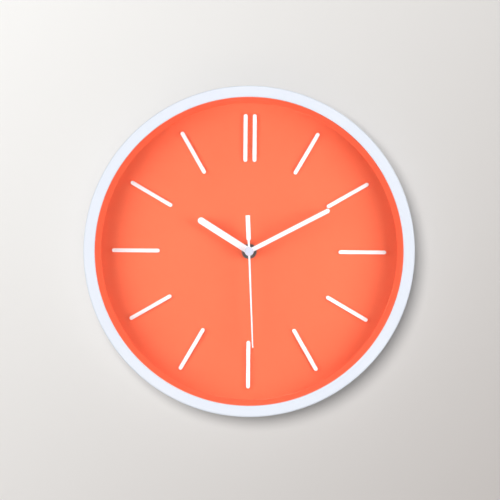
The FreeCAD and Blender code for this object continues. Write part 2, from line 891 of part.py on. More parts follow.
def make_coil():
    """Core strip, moulded bobbin and copper winding of the motor."""
    core = new_body("coil_core")
    back = "stator_back - core_thickness"
    pad(core, back, "core_thickness",
        rectangle("stator_left", "core_low", "stator_right", "stator_leg_top"))

    bobbin = new_body("coil_bobbin")
    pad_box(bobbin, "bobbin_left", "bobbin_right", "core_half_height + bobbin_tube_wall",
            "core_thickness / 2 + bobbin_tube_wall")
    for left in ("bobbin_left", "bobbin_right - bobbin_flange"):
        pad_box(bobbin, left, left + " + bobbin_flange", "bobbin_half_height",
                "bobbin_half_depth")
    cut_box(bobbin, "bobbin_left", "bobbin_right", "core_half_height", "core_thickness / 2")

    winding = new_body("coil_winding")
    wound_left = "bobbin_left + bobbin_flange"
    wound_right = "bobbin_right - bobbin_flange"
    pad_box(winding, wound_left, wound_right, "winding_half_height", "winding_half_depth")
    long_edges = value("%s - (%s)" % (wound_right, wound_left)) - TOLERANCE
    soften(winding, "Fillet", "winding_round", lambda box: box.XLength > long_edges)
    cut_box(winding, wound_left, wound_right, "core_half_height + bobbin_tube_wall",
            "core_thickness / 2 + bobbin_tube_wall")


def coil_box(half_height):
    """Bounds in height of a box centred on the coil's core."""
    return "core_middle - (%s)" % half_height, "core_middle + %s" % half_height


def pad_box(body, left, right, half_height, half_depth):
    """Add a box round the coil's core."""
    low, high = coil_box(half_height)
    pad(body, "core_depth - (%s)" % half_depth, "2 * (%s)" % half_depth,
        rectangle(left, low, right, high))


def cut_box(body, left, right, half_height, half_depth):
    """Cut a box round the coil's core."""
    low, high = coil_box(half_height)
    pocket(body, "core_depth - (%s)" % half_depth, "2 * (%s)" % half_depth,
           rectangle(left, low, right, high))


def make_circuit():
    """Circuit board on the middle plate with its covered chip and the quartz crystal's can."""
    board = new_body("circuit_board")
    pad(board, "board_back", "board_thickness",
        rectangle("-board_left", "board_low", "board_right", "board_high"))

    chip = new_body("chip")
    pad(chip, "board_back - chip_thickness", "chip_thickness",
        circle("chip_radius", "-chip_x", "chip_height"))
    soften(chip, "Fillet", "chip_round", at_depth("board_back - chip_thickness"))

    crystal = new_body("quartz_crystal")
    sketch = new_sketch(crystal, "YZ_Plane")
    draw_circle(sketch, "crystal_radius")
    can = crystal.newObject("PartDesign::Pad", "crystal_can")
    can.Profile = sketch
    bind(can, Length="crystal_length")
    place_at(crystal, "-crystal_x", "board_back - crystal_radius", "crystal_height")


# ---------------------------------------------------------------- battery

def turned_along_x(label, corners):
    """Turn an outline of (x, radius) corners about the battery's own axis."""
    body = new_body(label)
    sketch = new_sketch(body, "XY_Plane")
    draw_outline(sketch, corners)
    feature = body.newObject("PartDesign::Revolution", label + "_turned")
    feature.Profile = sketch
    feature.ReferenceAxis = (sketch, ["H_Axis"])
    feature.Angle = FULL_TURN
    place_at(body, "0", "battery_depth", "-battery_height")


def make_battery():
    """AA cell: steel can, positive cap and a thin sleeve that wraps over both shoulders."""
    can_end = "battery_half_length - battery_nub_length"
    inner = "battery_radius - battery_sleeve"
    turned_along_x("battery_can", [
        ("-battery_half_length", "0"),
        ("-battery_half_length", inner + " - battery_end_round"),
        ("-battery_half_length + battery_end_round", inner),
        (can_end + " - battery_end_round", inner),
        (can_end, inner + " - battery_end_round"),
        (can_end, "0"),
    ])
    turned_along_x("battery_cap", [
        (can_end, "0"),
        (can_end, "battery_nub_radius"),
        ("battery_half_length - battery_nub_chamfer", "battery_nub_radius"),
        ("battery_half_length", "battery_nub_radius - battery_nub_chamfer"),
        ("battery_half_length", "0"),
    ])
    turned_along_x("battery_sleeve", [
        ("-battery_half_length + battery_end_round", inner),
        ("-battery_half_length + battery_end_round", "battery_radius"),
        (can_end + " - battery_end_round", "battery_radius"),
        (can_end + " - battery_end_round", inner),
    ])


def make_contact(label, side, tab_x):
    """Bent strip: a dimpled pad at the cell's end that climbs the wall and bends to the board."""
    body = new_body(label)
    sign = "-" if side < 0 else ""
    foot = "-battery_height - contact_foot"
    inner_top = "contact_top - contact_thickness"
    tab_edge = "%s %s contact_thickness" % (tab_x, "+" if side > 0 else "-")
    strip = [
        (sign + "contact_wall", foot),
        (sign + "contact_wall", "contact_top"),
        (tab_x, "contact_top"),
        (tab_x, "contact_top - contact_tab"),
        (tab_edge, "contact_top - contact_tab"),
        (tab_edge, inner_top),
        (sign + "contact_face", inner_top),
        (sign + "contact_face", foot),
    ]
    pad(body, "board_back - contact_width", "contact_width",
        lambda sketch: draw_outline(sketch, strip))
    sketch = new_sketch(body, "YZ_Plane")
    bind(sketch, AttachmentOffset__Base__z=sign + "contact_face")
    draw_circle(sketch, "contact_dimple_radius", "-battery_depth", "-battery_height")
    dimple = body.newObject("PartDesign::Pad", label + "_dimple")
    dimple.Profile = sketch
    dimple.Reversed = side > 0
    bind(dimple, Length="contact_dimple_height")


# ---------------------------------------------------------------- gears

def tooth_half_angle(teeth, module, radius, backlash):
    """Half the angle that an involute tooth fills at a radius."""
    pitch_radius = teeth * module / 2
    base_radius = pitch_radius * math.cos(PRESSURE_ANGLE)

    def involute(r):
        angle = math.acos(min(1.0, base_radius / r))
        return math.tan(angle) - angle

    at_pitch = math.pi / (2 * teeth) - backlash / pitch_radius
    return at_pitch + involute(pitch_radius) - involute(max(radius, base_radius))


def toothed_disc(teeth, module, tooth, phase, back, thickness):
    """Spur gear about the hands' direction, with a tooth's middle at the phase angle."""
    addendum, dedendum = tooth
    pitch_radius = teeth * module / 2
    backlash = value("tooth_backlash") / 2
    radii = [pitch_radius - dedendum * module, pitch_radius, pitch_radius + addendum * module]
    points = []
    for number in range(teeth):
        middle = phase + number * 2 * math.pi / teeth
        flank = [(r, tooth_half_angle(teeth, module, r, backlash)) for r in radii]
        rising = [(r, middle - half) for r, half in flank]
        falling = [(r, middle + half) for r, half in reversed(flank)]
        points += [Vector(r * math.cos(a), -value(back), r * math.sin(a))
                   for r, a in rising + falling]
    outline = Part.makePolygon(points + points[:1])
    return Part.Face(outline).extrude(Vector(0, -value(thickness), 0))


def pinion_teeth(pair, phase, back, length):
    """Small gear of a pair."""
    return toothed_disc(pair["small"], pair["module"], PINION_TOOTH, phase, back, length)


def wheel_teeth(pair, phase, back, thickness):
    """Large gear of a pair."""
    return toothed_disc(pair["large"], pair["module"], WHEEL_TOOTH, phase, back, thickness)


def meshing_phase(phase, teeth, other_teeth, direction):
    """Phase of the other gear, which stands in a direction from the first gear."""
    return direction + math.pi + math.pi / other_teeth + (direction - phase) * teeth / other_teeth


def shaft(radius, back, front):
    """Solid cylinder about the hands' direction between two bound depths."""
    length = value("%s - (%s)" % (front, back))
    return Part.makeCylinder(value(radius), length, Vector(0, -value(back), 0), Vector(0, -1, 0))


def bore(radius, back, front):
    """Cutter for a running hole that passes both faces."""
    return shaft(radius + " + running_gap", back + " - through", front + " + through")


def turned_piece(label, solids, cutters=(), x="0", z="0"):
    """Join solids into one moulded piece, cut it and stand it on its arbor's place."""
    shape = solids[0].multiFuse(solids[1:])
    for cutter in cutters:
        shape = shape.cut(cutter)
    piece = document.addObject("Part::Feature", label)
    piece.Label = label
    piece.Shape = shape
    piece.Placement = Placement(Vector(value(x), 0, value(z)), Rotation())
    sub_parts.append(piece)


def direction_of(name):
    """Direction of an arbor in the sheet, in radians."""
    return math.radians(SIZES[name + "_direction"])


def make_rotor():
    """Magnet ring on a small pinion with two pivots."""
    phase = meshing_phase(0.0, ROTOR_PAIR["large"], ROTOR_PAIR["small"], direction_of("rotor"))
    shaft_front = "magnet_front + rotor_shaft_end"
    turned_piece("rotor_pinion", [
        shaft("shaft_radius", "rear_shoulder", shaft_front),
        shaft("pivot_radius", "rear_pivot_back", shaft_front + " + pivot_length"),
        pinion_teeth(ROTOR_PAIR, phase, "rotor_pinion_back", "rotor_pinion_length"),
        shaft("2 * shaft_radius", "rotor_pinion_back + rotor_pinion_length", "magnet_back"),
    ], x="rotor_x", z="rotor_z")
    magnet = ring("rotor_magnet", "shaft_radius", "magnet_radius", "magnet_back", "magnet_front")
    place_at(magnet, "rotor_x", "0", "rotor_z")


def make_intermediate_wheel():
    """Wheel that the rotor drives, with the pinion that drives the seconds wheel."""
    phase = meshing_phase(0.0, SECONDS_PAIR["large"], SECONDS_PAIR["small"],
                          direction_of("intermediate"))
    turned_piece("intermediate_wheel", [
        shaft("shaft_radius", "rear_shoulder", "intermediate_front"),
        shaft("pivot_radius", "rear_pivot_back", "intermediate_front + pivot_length"),
        wheel_teeth(ROTOR_PAIR, 0.0, "intermediate_back", "thin_wheel"),
        pinion_teeth(SECONDS_PAIR, phase, "intermediate_back + thin_wheel",
                     "intermediate_pinion_length"),
    ], x="intermediate_x", z="intermediate_z")


def make_seconds_wheel():
    """Wheel on the long thin shaft that carries the second hand."""
    turned_piece("seconds_wheel", [
        shaft("shaft_radius", "rear_shoulder", "second_shaft_front"),
        shaft("pivot_radius", "rear_pivot_back", "rear_shoulder + overlap"),
        wheel_teeth(SECONDS_PAIR, 0.0, "seconds_back", "thin_wheel"),
        pinion_teeth(THIRD_PAIR, 0.0, "seconds_back + thin_wheel", "seconds_pinion_length"),
    ])


def make_third_wheel():
    """Wheel between the seconds pinion and the centre wheel."""
    phase = meshing_phase(0.0, THIRD_PAIR["small"], THIRD_PAIR["large"], direction_of("third"))
    turned_piece("third_wheel", [
        shaft("shaft_radius", "rear_shoulder", "third_front"),
        shaft("pivot_radius", "rear_pivot_back", "third_front + pivot_length"),
        wheel_teeth(THIRD_PAIR, phase, "third_back", "thick_wheel"),
        pinion_teeth(CENTRE_PAIR, 0.0, "third_pinion_back", "third_pinion_length"),
    ], x="third_x", z="third_z")


def make_centre_wheel():
    """Wheel that turns once an hour and drives the minute arbor through the clutch spring."""
    phase = meshing_phase(0.0, CENTRE_PAIR["small"], CENTRE_PAIR["large"],
                          direction_of("third") + math.pi)
    wheel_back = "centre_wheel_front - thick_wheel"
    turned_piece("centre_wheel", [
        wheel_teeth(CENTRE_PAIR, phase, wheel_back, "thick_wheel"),
        shaft("centre_hub_radius", "centre_hub_back", wheel_back + " + overlap"),
    ], cutters=[bore("arbor_radius", "centre_hub_back", "centre_wheel_front")])
    spring_back = "centre_wheel_front + clutch_gap"
    ring("clutch_spring", "arbor_radius", "arbor_radius + clutch_reach", spring_back,
         spring_back + " + clutch_thickness")


def make_minute_arbor():
    """Tube that carries the minute hand, with the cannon pinion."""
    turned_piece("minute_arbor", [
        shaft("arbor_radius", "arbor_back", "arbor_front"),
        pinion_teeth(MOTION_PAIR, 0.0, "cannon_pinion_back", "cannon_pinion_length"),
    ], cutters=[bore("shaft_radius", "arbor_back", "arbor_front")])


def make_motion_wheel():
    """Wheel and pinion on the case's post that gear the hour wheel down to a twelfth."""
    phase = meshing_phase(0.0, MOTION_PAIR["small"], MOTION_PAIR["large"], direction_of("motion"))
    pinion_back = "motion_back + thick_wheel"
    turned_piece("motion_wheel", [
        wheel_teeth(MOTION_PAIR, phase, "motion_back", "thick_wheel"),
        pinion_teeth(HOUR_PAIR, 0.0, pinion_back, "motion_pinion_length"),
    ], cutters=[bore("shaft_radius", "motion_back", pinion_back + " + motion_pinion_length")],
        x="motion_x", z="motion_z")


def make_hour_wheel():
    """Hour wheel with the tube that runs in the bush and carries the hour hand."""
    phase = meshing_phase(0.0, HOUR_PAIR["small"], HOUR_PAIR["large"],
                          direction_of("motion") + math.pi)
    turned_piece("hour_wheel", [
        wheel_teeth(HOUR_PAIR, phase, "hour_wheel_back", "hour_wheel_thickness"),
        shaft("hour_tube_radius", "hour_wheel_back", "hour_tube_front"),
    ], cutters=[bore("arbor_radius", "hour_wheel_back", "hour_tube_front")])


def make_set_knob():
    """Fluted knob whose stem ends in a pinion on the motion wheel."""
    motion_phase = meshing_phase(0.0, MOTION_PAIR["small"], MOTION_PAIR["large"],
                                 direction_of("motion"))
    phase = meshing_phase(motion_phase, MOTION_PAIR["large"], MOTION_PAIR["small"],
                          direction_of("knob"))
    front = "knob_back + knob_thickness"
    radius = value("knob_radius")
    count = int(value("knob_flute_count"))
    cutters = []
    for number in range(count):
        angle = number * 2 * math.pi / count
        flute = shaft("knob_flute_radius", "knob_back - through", front + " + through")
        flute.translate(Vector(radius * math.cos(angle), 0, radius * math.sin(angle)))
        cutters.append(flute)
    dish_middle = value("knob_dish_radius - knob_back - knob_dish_depth")
    cutters.append(Part.makeSphere(value("knob_dish_radius"), Vector(0, dish_middle, 0)))
    turned_piece("set_knob", [
        shaft("knob_radius", "knob_back", front),
        shaft("knob_stem_radius", "knob_back", "knob_stem_front"),
        pinion_teeth(MOTION_PAIR, phase, "knob_pinion_back", "knob_pinion_length"),
        shaft("knob_pivot_radius", "knob_pivot_back", "knob_pivot_front"),
    ], cutters, x="knob_x", z="knob_z")


# ---------------------------------------------------------------- hands

def make_flat_hand(prefix, hole_radius):
    """Straight hand with a round tip, a round hub and a collet behind it."""
    body = new_body(prefix + "_hand")
    back = prefix + "_hand_back"
    thickness = prefix + "_hand_thickness"
    half_width = "%s_hand_width / 2" % prefix
    pad(body, back, thickness, circle(prefix + "_hub_radius"))
    pad(body, back, thickness,
        lambda sketch: draw_slot(sketch, half_width, "0", "0",
                                 "%s_hand_length - %s" % (prefix, half_width)))
    soften(body, "Fillet", "hand_edge_round", at_depth("%s + %s" % (back, thickness)))
    pad(body, back + " - collet_drop", "collet_drop + overlap",
        circle(hole_radius + " + collet_wall"))
    pocket(body, back + " - collet_drop - through", "collet_drop + %s + 2 * through" % thickness,
           circle(hole_radius))
    turn_to(body, SIZES[prefix + "_hand_angle"])


def make_second_hand():
    """Thin tapering hand with a square-ended counterweight behind the axis."""
    body = new_body("second_hand")
    half_tip = "second_hand_tip_width / 2"
    half_root = "second_hand_root_width / 2"
    half_neck = "second_tail_neck_width / 2"
    half_tail = "second_tail_width / 2"
    right = [
        (half_tail, "-second_tail_length"),
        (half_tail, "-second_tail_shoulder_end"),
        (half_neck, "-second_tail_neck_end"),
        (half_neck, "-second_tail_root"),
        (half_root, "0"),
        (half_tip, "second_hand_length - " + half_tip),
    ]
    left = [("-(%s)" % x, z) for x, z in reversed(right)]
    tip = [("0", "second_hand_length")]
    pad(body, "second_hand_back", "second_hand_thickness",
        lambda sketch: draw_outline(sketch, right + tip + left))
    pad(body, "second_hand_back", "second_hand_thickness", circle("second_hub_radius"))
    pocket(body, "second_hand_back - through", "second_hand_thickness + 2 * through",
           circle("shaft_radius"))
    turn_to(body, SIZES["second_hand_angle"])


def make_second_hand_cap():
    """Round cap over the second hand's hub and the tube that grips the seconds shaft."""
    cap = new_body("second_hand_cap")
    back = "second_hand_back + second_hand_thickness"
    front = back + " + second_cap_height"
    revolve(cap, [
        ("0", "second_shaft_front"),
        ("shaft_radius", "second_shaft_front"),
        ("shaft_radius", back),
        ("second_cap_radius", back),
        ("second_cap_radius", front + " - second_cap_chamfer"),
        ("second_cap_radius - second_cap_chamfer", front),
        ("0", front),
    ])
    ring("second_hand_tube", "shaft_radius", "second_tube_radius", "second_tube_back",
         "second_hand_back")


# ---------------------------------------------------------------- build and export

def check_and_export():
    """Stop on any failed object, then write one STEP file for each sub-part."""
    document.recompute()
    for item in document.Objects:
        if {"Invalid", "Error"} & set(item.State):
            raise RuntimeError("%s failed: %s" % (item.Label, item.State))
    os.makedirs("parts", exist_ok=True)
    for item in sub_parts:
        shape = item.Shape
        if shape.isNull() or not shape.isValid():
            raise RuntimeError("%s has no valid shape" % item.Label)
        shape.exportStep("parts/%s.step" % item.Label)
        print("%-20s %d solid(s) %.1f mm3" % (item.Label, len(shape.Solids), shape.Volume))


sheet = fill_sheet()
derived_places()

make_rim()
make_lens()
make_dial()
make_markers()
make_dial_screws()
make_hanger_plate()
make_hanger_screws()
make_threaded_bush()
make_clamping_rings()
make_hand_nut()
make_front_case()
make_middle_plate()
make_rear_case()
make_stator()
make_coil()
make_circuit()
make_battery()
make_contact("contact_negative", -1, "-contact_negative_x")
make_contact("contact_positive", 1, "-contact_positive_x")
make_rotor()
make_intermediate_wheel()
make_seconds_wheel()
make_third_wheel()
make_centre_wheel()
make_minute_arbor()
make_motion_wheel()
make_hour_wheel()
make_set_knob()
make_flat_hand("hour", "hour_tube_radius")
make_flat_hand("minute", "arbor_radius")
make_second_hand()
make_second_hand_cap()
check_and_export()
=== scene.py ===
"""Round quartz wall clock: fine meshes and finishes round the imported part, in a plain studio.

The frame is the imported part's, in metres: +Z is up, the face looks along -Y and the wall is the
plane y = 0. Sizes below are in millimetres. A depth is a distance in front of the wall, so a
depth d lies at y = -d. Angles are in degrees, clockwise as seen from the front.
"""

from __future__ import annotations

import json
import logging
import math
from contextlib import contextmanager
from dataclasses import dataclass
from enum import Enum
from typing import Any, Callable, Iterator, Sequence

import bmesh
import bpy
from mathutils import Matrix, Vector

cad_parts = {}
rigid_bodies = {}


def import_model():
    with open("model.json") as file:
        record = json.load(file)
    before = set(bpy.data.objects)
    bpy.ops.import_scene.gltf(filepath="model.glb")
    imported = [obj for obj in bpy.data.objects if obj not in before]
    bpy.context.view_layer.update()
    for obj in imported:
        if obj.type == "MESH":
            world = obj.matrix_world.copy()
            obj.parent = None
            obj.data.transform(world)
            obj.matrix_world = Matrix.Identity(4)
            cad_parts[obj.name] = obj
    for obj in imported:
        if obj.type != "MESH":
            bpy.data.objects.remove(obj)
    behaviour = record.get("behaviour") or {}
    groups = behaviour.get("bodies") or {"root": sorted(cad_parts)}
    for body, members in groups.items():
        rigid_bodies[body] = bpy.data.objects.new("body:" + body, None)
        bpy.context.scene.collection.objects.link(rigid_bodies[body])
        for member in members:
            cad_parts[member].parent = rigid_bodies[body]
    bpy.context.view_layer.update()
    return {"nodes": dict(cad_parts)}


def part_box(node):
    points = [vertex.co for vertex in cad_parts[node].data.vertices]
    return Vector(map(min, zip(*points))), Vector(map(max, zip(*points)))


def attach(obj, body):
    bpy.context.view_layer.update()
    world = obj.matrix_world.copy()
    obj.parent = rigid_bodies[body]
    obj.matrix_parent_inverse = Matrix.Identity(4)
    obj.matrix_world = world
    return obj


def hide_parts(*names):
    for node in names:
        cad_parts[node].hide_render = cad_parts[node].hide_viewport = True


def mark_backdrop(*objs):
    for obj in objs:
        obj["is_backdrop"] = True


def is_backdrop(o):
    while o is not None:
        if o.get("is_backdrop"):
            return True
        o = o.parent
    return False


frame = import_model()

MM = 0.001
# Distances in metres below which points are one, and below which doubles are merged.
SAME_PLACE = 1e-7
MERGE_WITHIN = 1e-6
# Least share of a direction along an axis for a face or an edge to count as lying along it.
ALONG = 0.9
# How far a solid reaches into the one that it is fused with, and a cutter past what it cuts.
OVERLAP = 0.2
THROUGH = 1.0
# How far past a face a cutter stops that ends at it, so that no film is left there.
JUST_PAST = 0.01
# Share of a bar's half width that rounds its end, a little short of merging its corners.
ROUND_END = 0.99
# Flats in a rounded corner: so many for each millimetre of radius, within limits.
FLATS_PER_MM = 4
FEWEST_FLATS = 2
MOST_FLATS = 12
LOG = logging.getLogger("wall_clock")

Mesh = bpy.types.Object
Corner = tuple[float, float, float]


# ---------------------------------------------------------------- workbench

class Receiver(Enum):
    """What a studio light shines on."""

    CLOCK = "clock_receivers"
    RIM = "rim_receivers"
    FACE = "face_receivers"
    ROOM = "room_receivers"


class Element(Enum):
    """The kind of mesh element that an edit works on."""

    VERTS = (True, False, False)
    EDGES = (False, True, False)
    FACES = (False, False, True)


@dataclass(frozen=True)
class Lathe:
    """An axis that sections are turned about.

    A section's corner (radius, along) stands at centre + across * radius + axis * along.
    """

    centre: tuple[float, float, float] = (0.0, 0.0, 0.0)
    axis: tuple[float, float, float] = (0.0, -1.0, 0.0)
    across: tuple[float, float, float] = (1.0, 0.0, 0.0)

    def point(self, radius: float, along: float) -> Vector:
        """Place of a section's corner, in metres."""
        spot = Vector(self.centre) + Vector(self.across) * radius + Vector(self.axis) * along
        return spot * MM


HANDS_AXIS = Lathe()


def clear_selection() -> None:
    """Leave edit mode and deselect every object."""
    if bpy.context.mode != "OBJECT":
        bpy.ops.object.mode_set(mode="OBJECT")
    bpy.ops.object.select_all(action="DESELECT")


def take(piece: Mesh) -> None:
    """Make a piece the only selected object and the active one."""
    clear_selection()
    bpy.context.view_layer.objects.active = piece
    piece.select_set(True)


@contextmanager
def editing(piece: Mesh) -> Iterator[None]:
    """Hold a piece in edit mode with everything selected.

    Args:
        piece: The mesh object to edit.
    """
    take(piece)
    bpy.ops.object.mode_set(mode="EDIT")
    bpy.ops.mesh.select_all(action="SELECT")
    yield
    bpy.ops.object.mode_set(mode="OBJECT")


def choose(piece: Mesh, kind: Element, test: Callable[[Any], bool]) -> None:
    """Select the elements of the piece in edit mode that pass a test.

    Args:
        piece: The mesh object that is being edited.
        kind: Vertices, edges or faces.
        test: Says whether a bmesh element is wanted.
    """
    bpy.context.tool_settings.mesh_select_mode = kind.value
    bpy.ops.mesh.select_all(action="DESELECT")
    mesh = bmesh.from_edit_mesh(piece.data)
    for item in getattr(mesh, kind.name.lower()):
        if test(item):
            item.select_set(True)
    mesh.select_flush_mode()
    bmesh.update_edit_mesh(piece.data)


def add_primitive(name: str, operator: Callable[..., Any], **settings: Any) -> Mesh:
    """Add a primitive at its size and place, with its place moved into its mesh.

    Args:
        name: Name of the new object.
        operator: The bpy.ops call that adds it.
        **settings: The operator's settings, in metres.

    Returns:
        The new object.
    """
    clear_selection()
    operator(**settings)
    piece = bpy.context.view_layer.objects.active
    piece.name = piece.data.name = name
    bpy.ops.object.transform_apply(location=True, rotation=True, scale=True)
    return piece


def draw_line(name: str, points: Sequence[Vector], closed: bool = True) -> Mesh:
    """Draw a line by extruding one vertex from point to point.

    Args:
        name: Name of the new object.
        points: The line's points, in metres.
        closed: Whether the last point joins the first.

    Returns:
        The line as a mesh of edges.
    """
    piece = add_primitive(name, bpy.ops.mesh.primitive_plane_add, size=MM, location=points[0])
    with editing(piece):
        bpy.context.tool_settings.mesh_select_mode = Element.VERTS.value
        bpy.ops.mesh.merge(type="CENTER")
        for here, there in zip(points, points[1:]):
            bpy.ops.mesh.extrude_region_move(TRANSFORM_OT_translate={"value": there - here})
        if closed:
            ends = (points[0], points[-1])
            choose(piece, Element.VERTS,
                   lambda v: min((v.co - end).length for end in ends) < SAME_PLACE)
            bpy.ops.mesh.edge_face_add()
    return piece


def round_corners(piece: Mesh, points: Sequence[Vector], rounds: Sequence[float]) -> None:
    """Round the corners of a drawn line.

    Args:
        piece: The drawn line.
        points: Its corners, in metres.
        rounds: The radius at each corner in millimetres, 0 where it stays sharp.
    """
    count = len(points)
    for i, (corner, radius) in enumerate(zip(points, rounds)):
        if radius <= 0:
            continue
        before = (points[i - 1] - corner).normalized()
        after = (points[(i + 1) % count] - corner).normalized()
        opening = before.angle(after)
        reach = radius * MM / math.tan(opening / 2)
        segments = max(FEWEST_FLATS, min(MOST_FLATS, round(radius * FLATS_PER_MM)))
        with editing(piece):
            choose(piece, Element.VERTS, lambda v: (v.co - corner).length < SAME_PLACE)
            bpy.ops.mesh.bevel(offset=reach, segments=segments, affect="VERTICES")


def close_normals(piece: Mesh) -> None:
    """Merge a mesh's doubles and point its faces outwards."""
    with editing(piece):
        bpy.ops.mesh.remove_doubles(threshold=MERGE_WITHIN)
        bpy.ops.mesh.normals_make_consistent(inside=False)


def shade(piece: Mesh, angle: float = 35.0) -> None:
    """Shade a piece smooth, except over edges sharper than an angle in degrees."""
    take(piece)
    bpy.ops.object.shade_smooth_by_angle(angle=math.radians(angle))


def turn(name: str, section: Sequence[Corner], steps: int = 96, lathe: Lathe = HANDS_AXIS,
         closed: bool = True) -> Mesh:
    """Turn a section on a lathe.

    Args:
        name: Name of the new object.
        section: Corners as (radius, along, rounding), in millimetres.
        steps: Number of flats round the axis.
        lathe: The axis that it is turned about.
        closed: Whether the section is a closed outline, or ends on the axis.

    Returns:
        The turned solid.
    """
    points = [lathe.point(radius, along) for radius, along, _ in section]
    piece = draw_line(name, points, closed)
    round_corners(piece, points, [rounding for _, _, rounding in section])
    with editing(piece):
        bpy.ops.mesh.spin(steps=steps, angle=math.tau, axis=lathe.axis,
                          center=Vector(lathe.centre) * MM)
    close_normals(piece)
    shade(piece)
    return piece


def face_outline(outline: Sequence[Corner], depth: float) -> list[Vector]:
    """Points of an (x, z, rounding) outline that lies at a depth, in metres."""
    return [Vector((x, -depth, z)) * MM for x, z, _ in outline]


def plate(name: str, outline: Sequence[Corner], back: float, front: float) -> Mesh:
    """Cut a flat plate to an outline.

    Args:
        name: Name of the new object.
        outline: Corners as (x, z, rounding), in millimetres.
        back: Depth of its back face.
        front: Depth of its front face.

    Returns:
        The plate.
    """
    points = face_outline(outline, back)
    piece = draw_line(name, points)
    round_corners(piece, points, [rounding for _, _, rounding in outline])
    with editing(piece):
        bpy.ops.mesh.edge_face_add()
        rise = Vector((0, back - front, 0)) * MM
        bpy.ops.mesh.extrude_region_move(TRANSFORM_OT_translate={"value": rise})
    close_normals(piece)
    return piece


def block(name: str, left: float, right: float, low: float, high: float, back: float,
          front: float, corner: float = 0.0) -> Mesh:
    """Make a block whose edges along the depth may be rounded.

    Args:
        name: Name of the new object.
        left: Its lowest x.
        right: Its highest x.
        low: Its lowest z.
        high: Its highest z.
        back: Depth of its back face.
        front: Depth of its front face.
        corner: Radius of its four corners.

    Returns:
        The block.
    """
    middle = Vector(((left + right) / 2, -(back + front) / 2, (low + high) / 2)) * MM
    piece = add_primitive(name, bpy.ops.mesh.primitive_cube_add, size=MM, location=middle,
                          scale=(right - left, front - back, high - low))
    if corner:
        with editing(piece):
            choose(piece, Element.EDGES,
                   lambda e: abs((e.verts[0].co - e.verts[1].co).normalized().y) > ALONG)
            bpy.ops.mesh.bevel(offset=corner * MM, segments=6, affect="EDGES")
    return piece


def rod(name: str, radius: float, back: float, front: float, x: float = 0.0, z: float = 0.0,
        sides: int = 48) -> Mesh:
    """Make a rod along the hands' direction.

    Args:
        name: Name of the new object.
        radius: Its radius.
        back: Depth of its back end.
        front: Depth of its front end.
        x: Place of its axis.
        z: Height of its axis.
        sides: Number of flats round it.

    Returns:
        The rod.
    """
    middle = Vector((x, -(back + front) / 2, z)) * MM
    return add_primitive(name, bpy.ops.mesh.primitive_cylinder_add, vertices=sides,
                         radius=radius * MM, depth=(front - back) * MM, location=middle,
                         rotation=(math.radians(90), 0, 0))


def apply_modifier(piece: Mesh, kind: str, **settings: Any) -> None:
    """Add one modifier to a piece and apply it.

    Args:
        piece: The piece it works on.
        kind: The modifier's type.
        **settings: Its properties.
    """
    modifier = piece.modifiers.new(kind.title(), kind)
    for name, value in settings.items():
        setattr(modifier, name, value)
    take(piece)
    bpy.ops.object.modifier_apply(modifier=modifier.name)


def combine(piece: Mesh, operation: str, *tools: Mesh) -> Mesh:
    """Cut tools out of a piece or fuse them with it, and remove the tools.

    Args:
        piece: The piece that is worked on.
        operation: DIFFERENCE or UNION.
        *tools: Closed solids.

    Returns:
        The piece.
    """
    for tool in tools:
        apply_modifier(piece, "BOOLEAN", operation=operation, object=tool, solver="EXACT")
        bpy.data.objects.remove(tool)
    return piece


def round_edges(piece: Mesh, width: float, segments: int = 2, angle: float = 40.0) -> Mesh:
    """Round the edges of a piece that are sharper than an angle.

    Args:
        piece: The piece that is worked on.
        width: Width of the rounding in millimetres.
        segments: Number of flats across it.
        angle: The least angle between the faces, in degrees.

    Returns:
        The piece.
    """
    apply_modifier(piece, "BEVEL", width=width * MM, segments=segments, limit_method="ANGLE",
                   angle_limit=math.radians(angle), use_clamp_overlap=True)
    shade(piece)
    return piece


def copy_of(piece: Mesh, name: str, placing: Matrix) -> Mesh:
    """Copy a piece with its own mesh to another place.

    Args:
        piece: The piece to copy.
        name: Name of the copy.
        placing: Moves the copy's mesh, in metres.

    Returns:
        The copy.
    """
    twin = piece.copy()
    twin.data = piece.data.copy()
    twin.name = twin.data.name = name
    bpy.context.scene.collection.objects.link(twin)
    twin.data.transform(placing)
    return twin


def clockwise(angle: float) -> Matrix:
    """Turn about the hands' axis, clockwise in degrees as seen from the front."""
    return Matrix.Rotation(math.radians(angle), 4, "Y")


def shift(x: float = 0.0, z: float = 0.0) -> Matrix:
    """Move across the face, in millimetres."""
    return Matrix.Translation(Vector((x, 0, z)) * MM)


def join(piece: Mesh, *others: Mesh) -> Mesh:
    """Join other meshes into a piece, as shells of one object."""
    take(piece)
    for other in others:
        other.select_set(True)
    bpy.ops.object.join()
    return piece


def ring_of(piece: Mesh, count: int) -> Mesh:
    """Repeat a piece round the hands' axis, all as one object."""
    step = 360.0 / count
    others = [copy_of(piece, "%s_%d" % (piece.name, i), clockwise(i * step))
              for i in range(1, count)]
    return join(piece, *others)


# ---------------------------------------------------------------- finishes

# Most of a noise texture's values lie between these, so they are spread over the whole range.
NOISE_RANGE = {"From Min": 0.3, "From Max": 0.7}


def linear(colour: str) -> tuple[float, float, float, float]:
    """Turn an sRGB hex colour into the linear values that a shader takes.

    Args:
        colour: Six hex digits after a hash.

    Returns:
        Red, green, blue and alpha.
    """
    values = [int(colour[i:i + 2], 16) / 255 for i in (1, 3, 5)]
    red, green, blue = [v / 12.92 if v <= 0.04045 else ((v + 0.055) / 1.055) ** 2.4
                        for v in values]
    return red, green, blue, 1.0


def per_mm(size: float) -> float:
    """Texture scale in cycles to a metre for a pattern whose features are size mm wide."""
    return 1.0 / (size * MM)


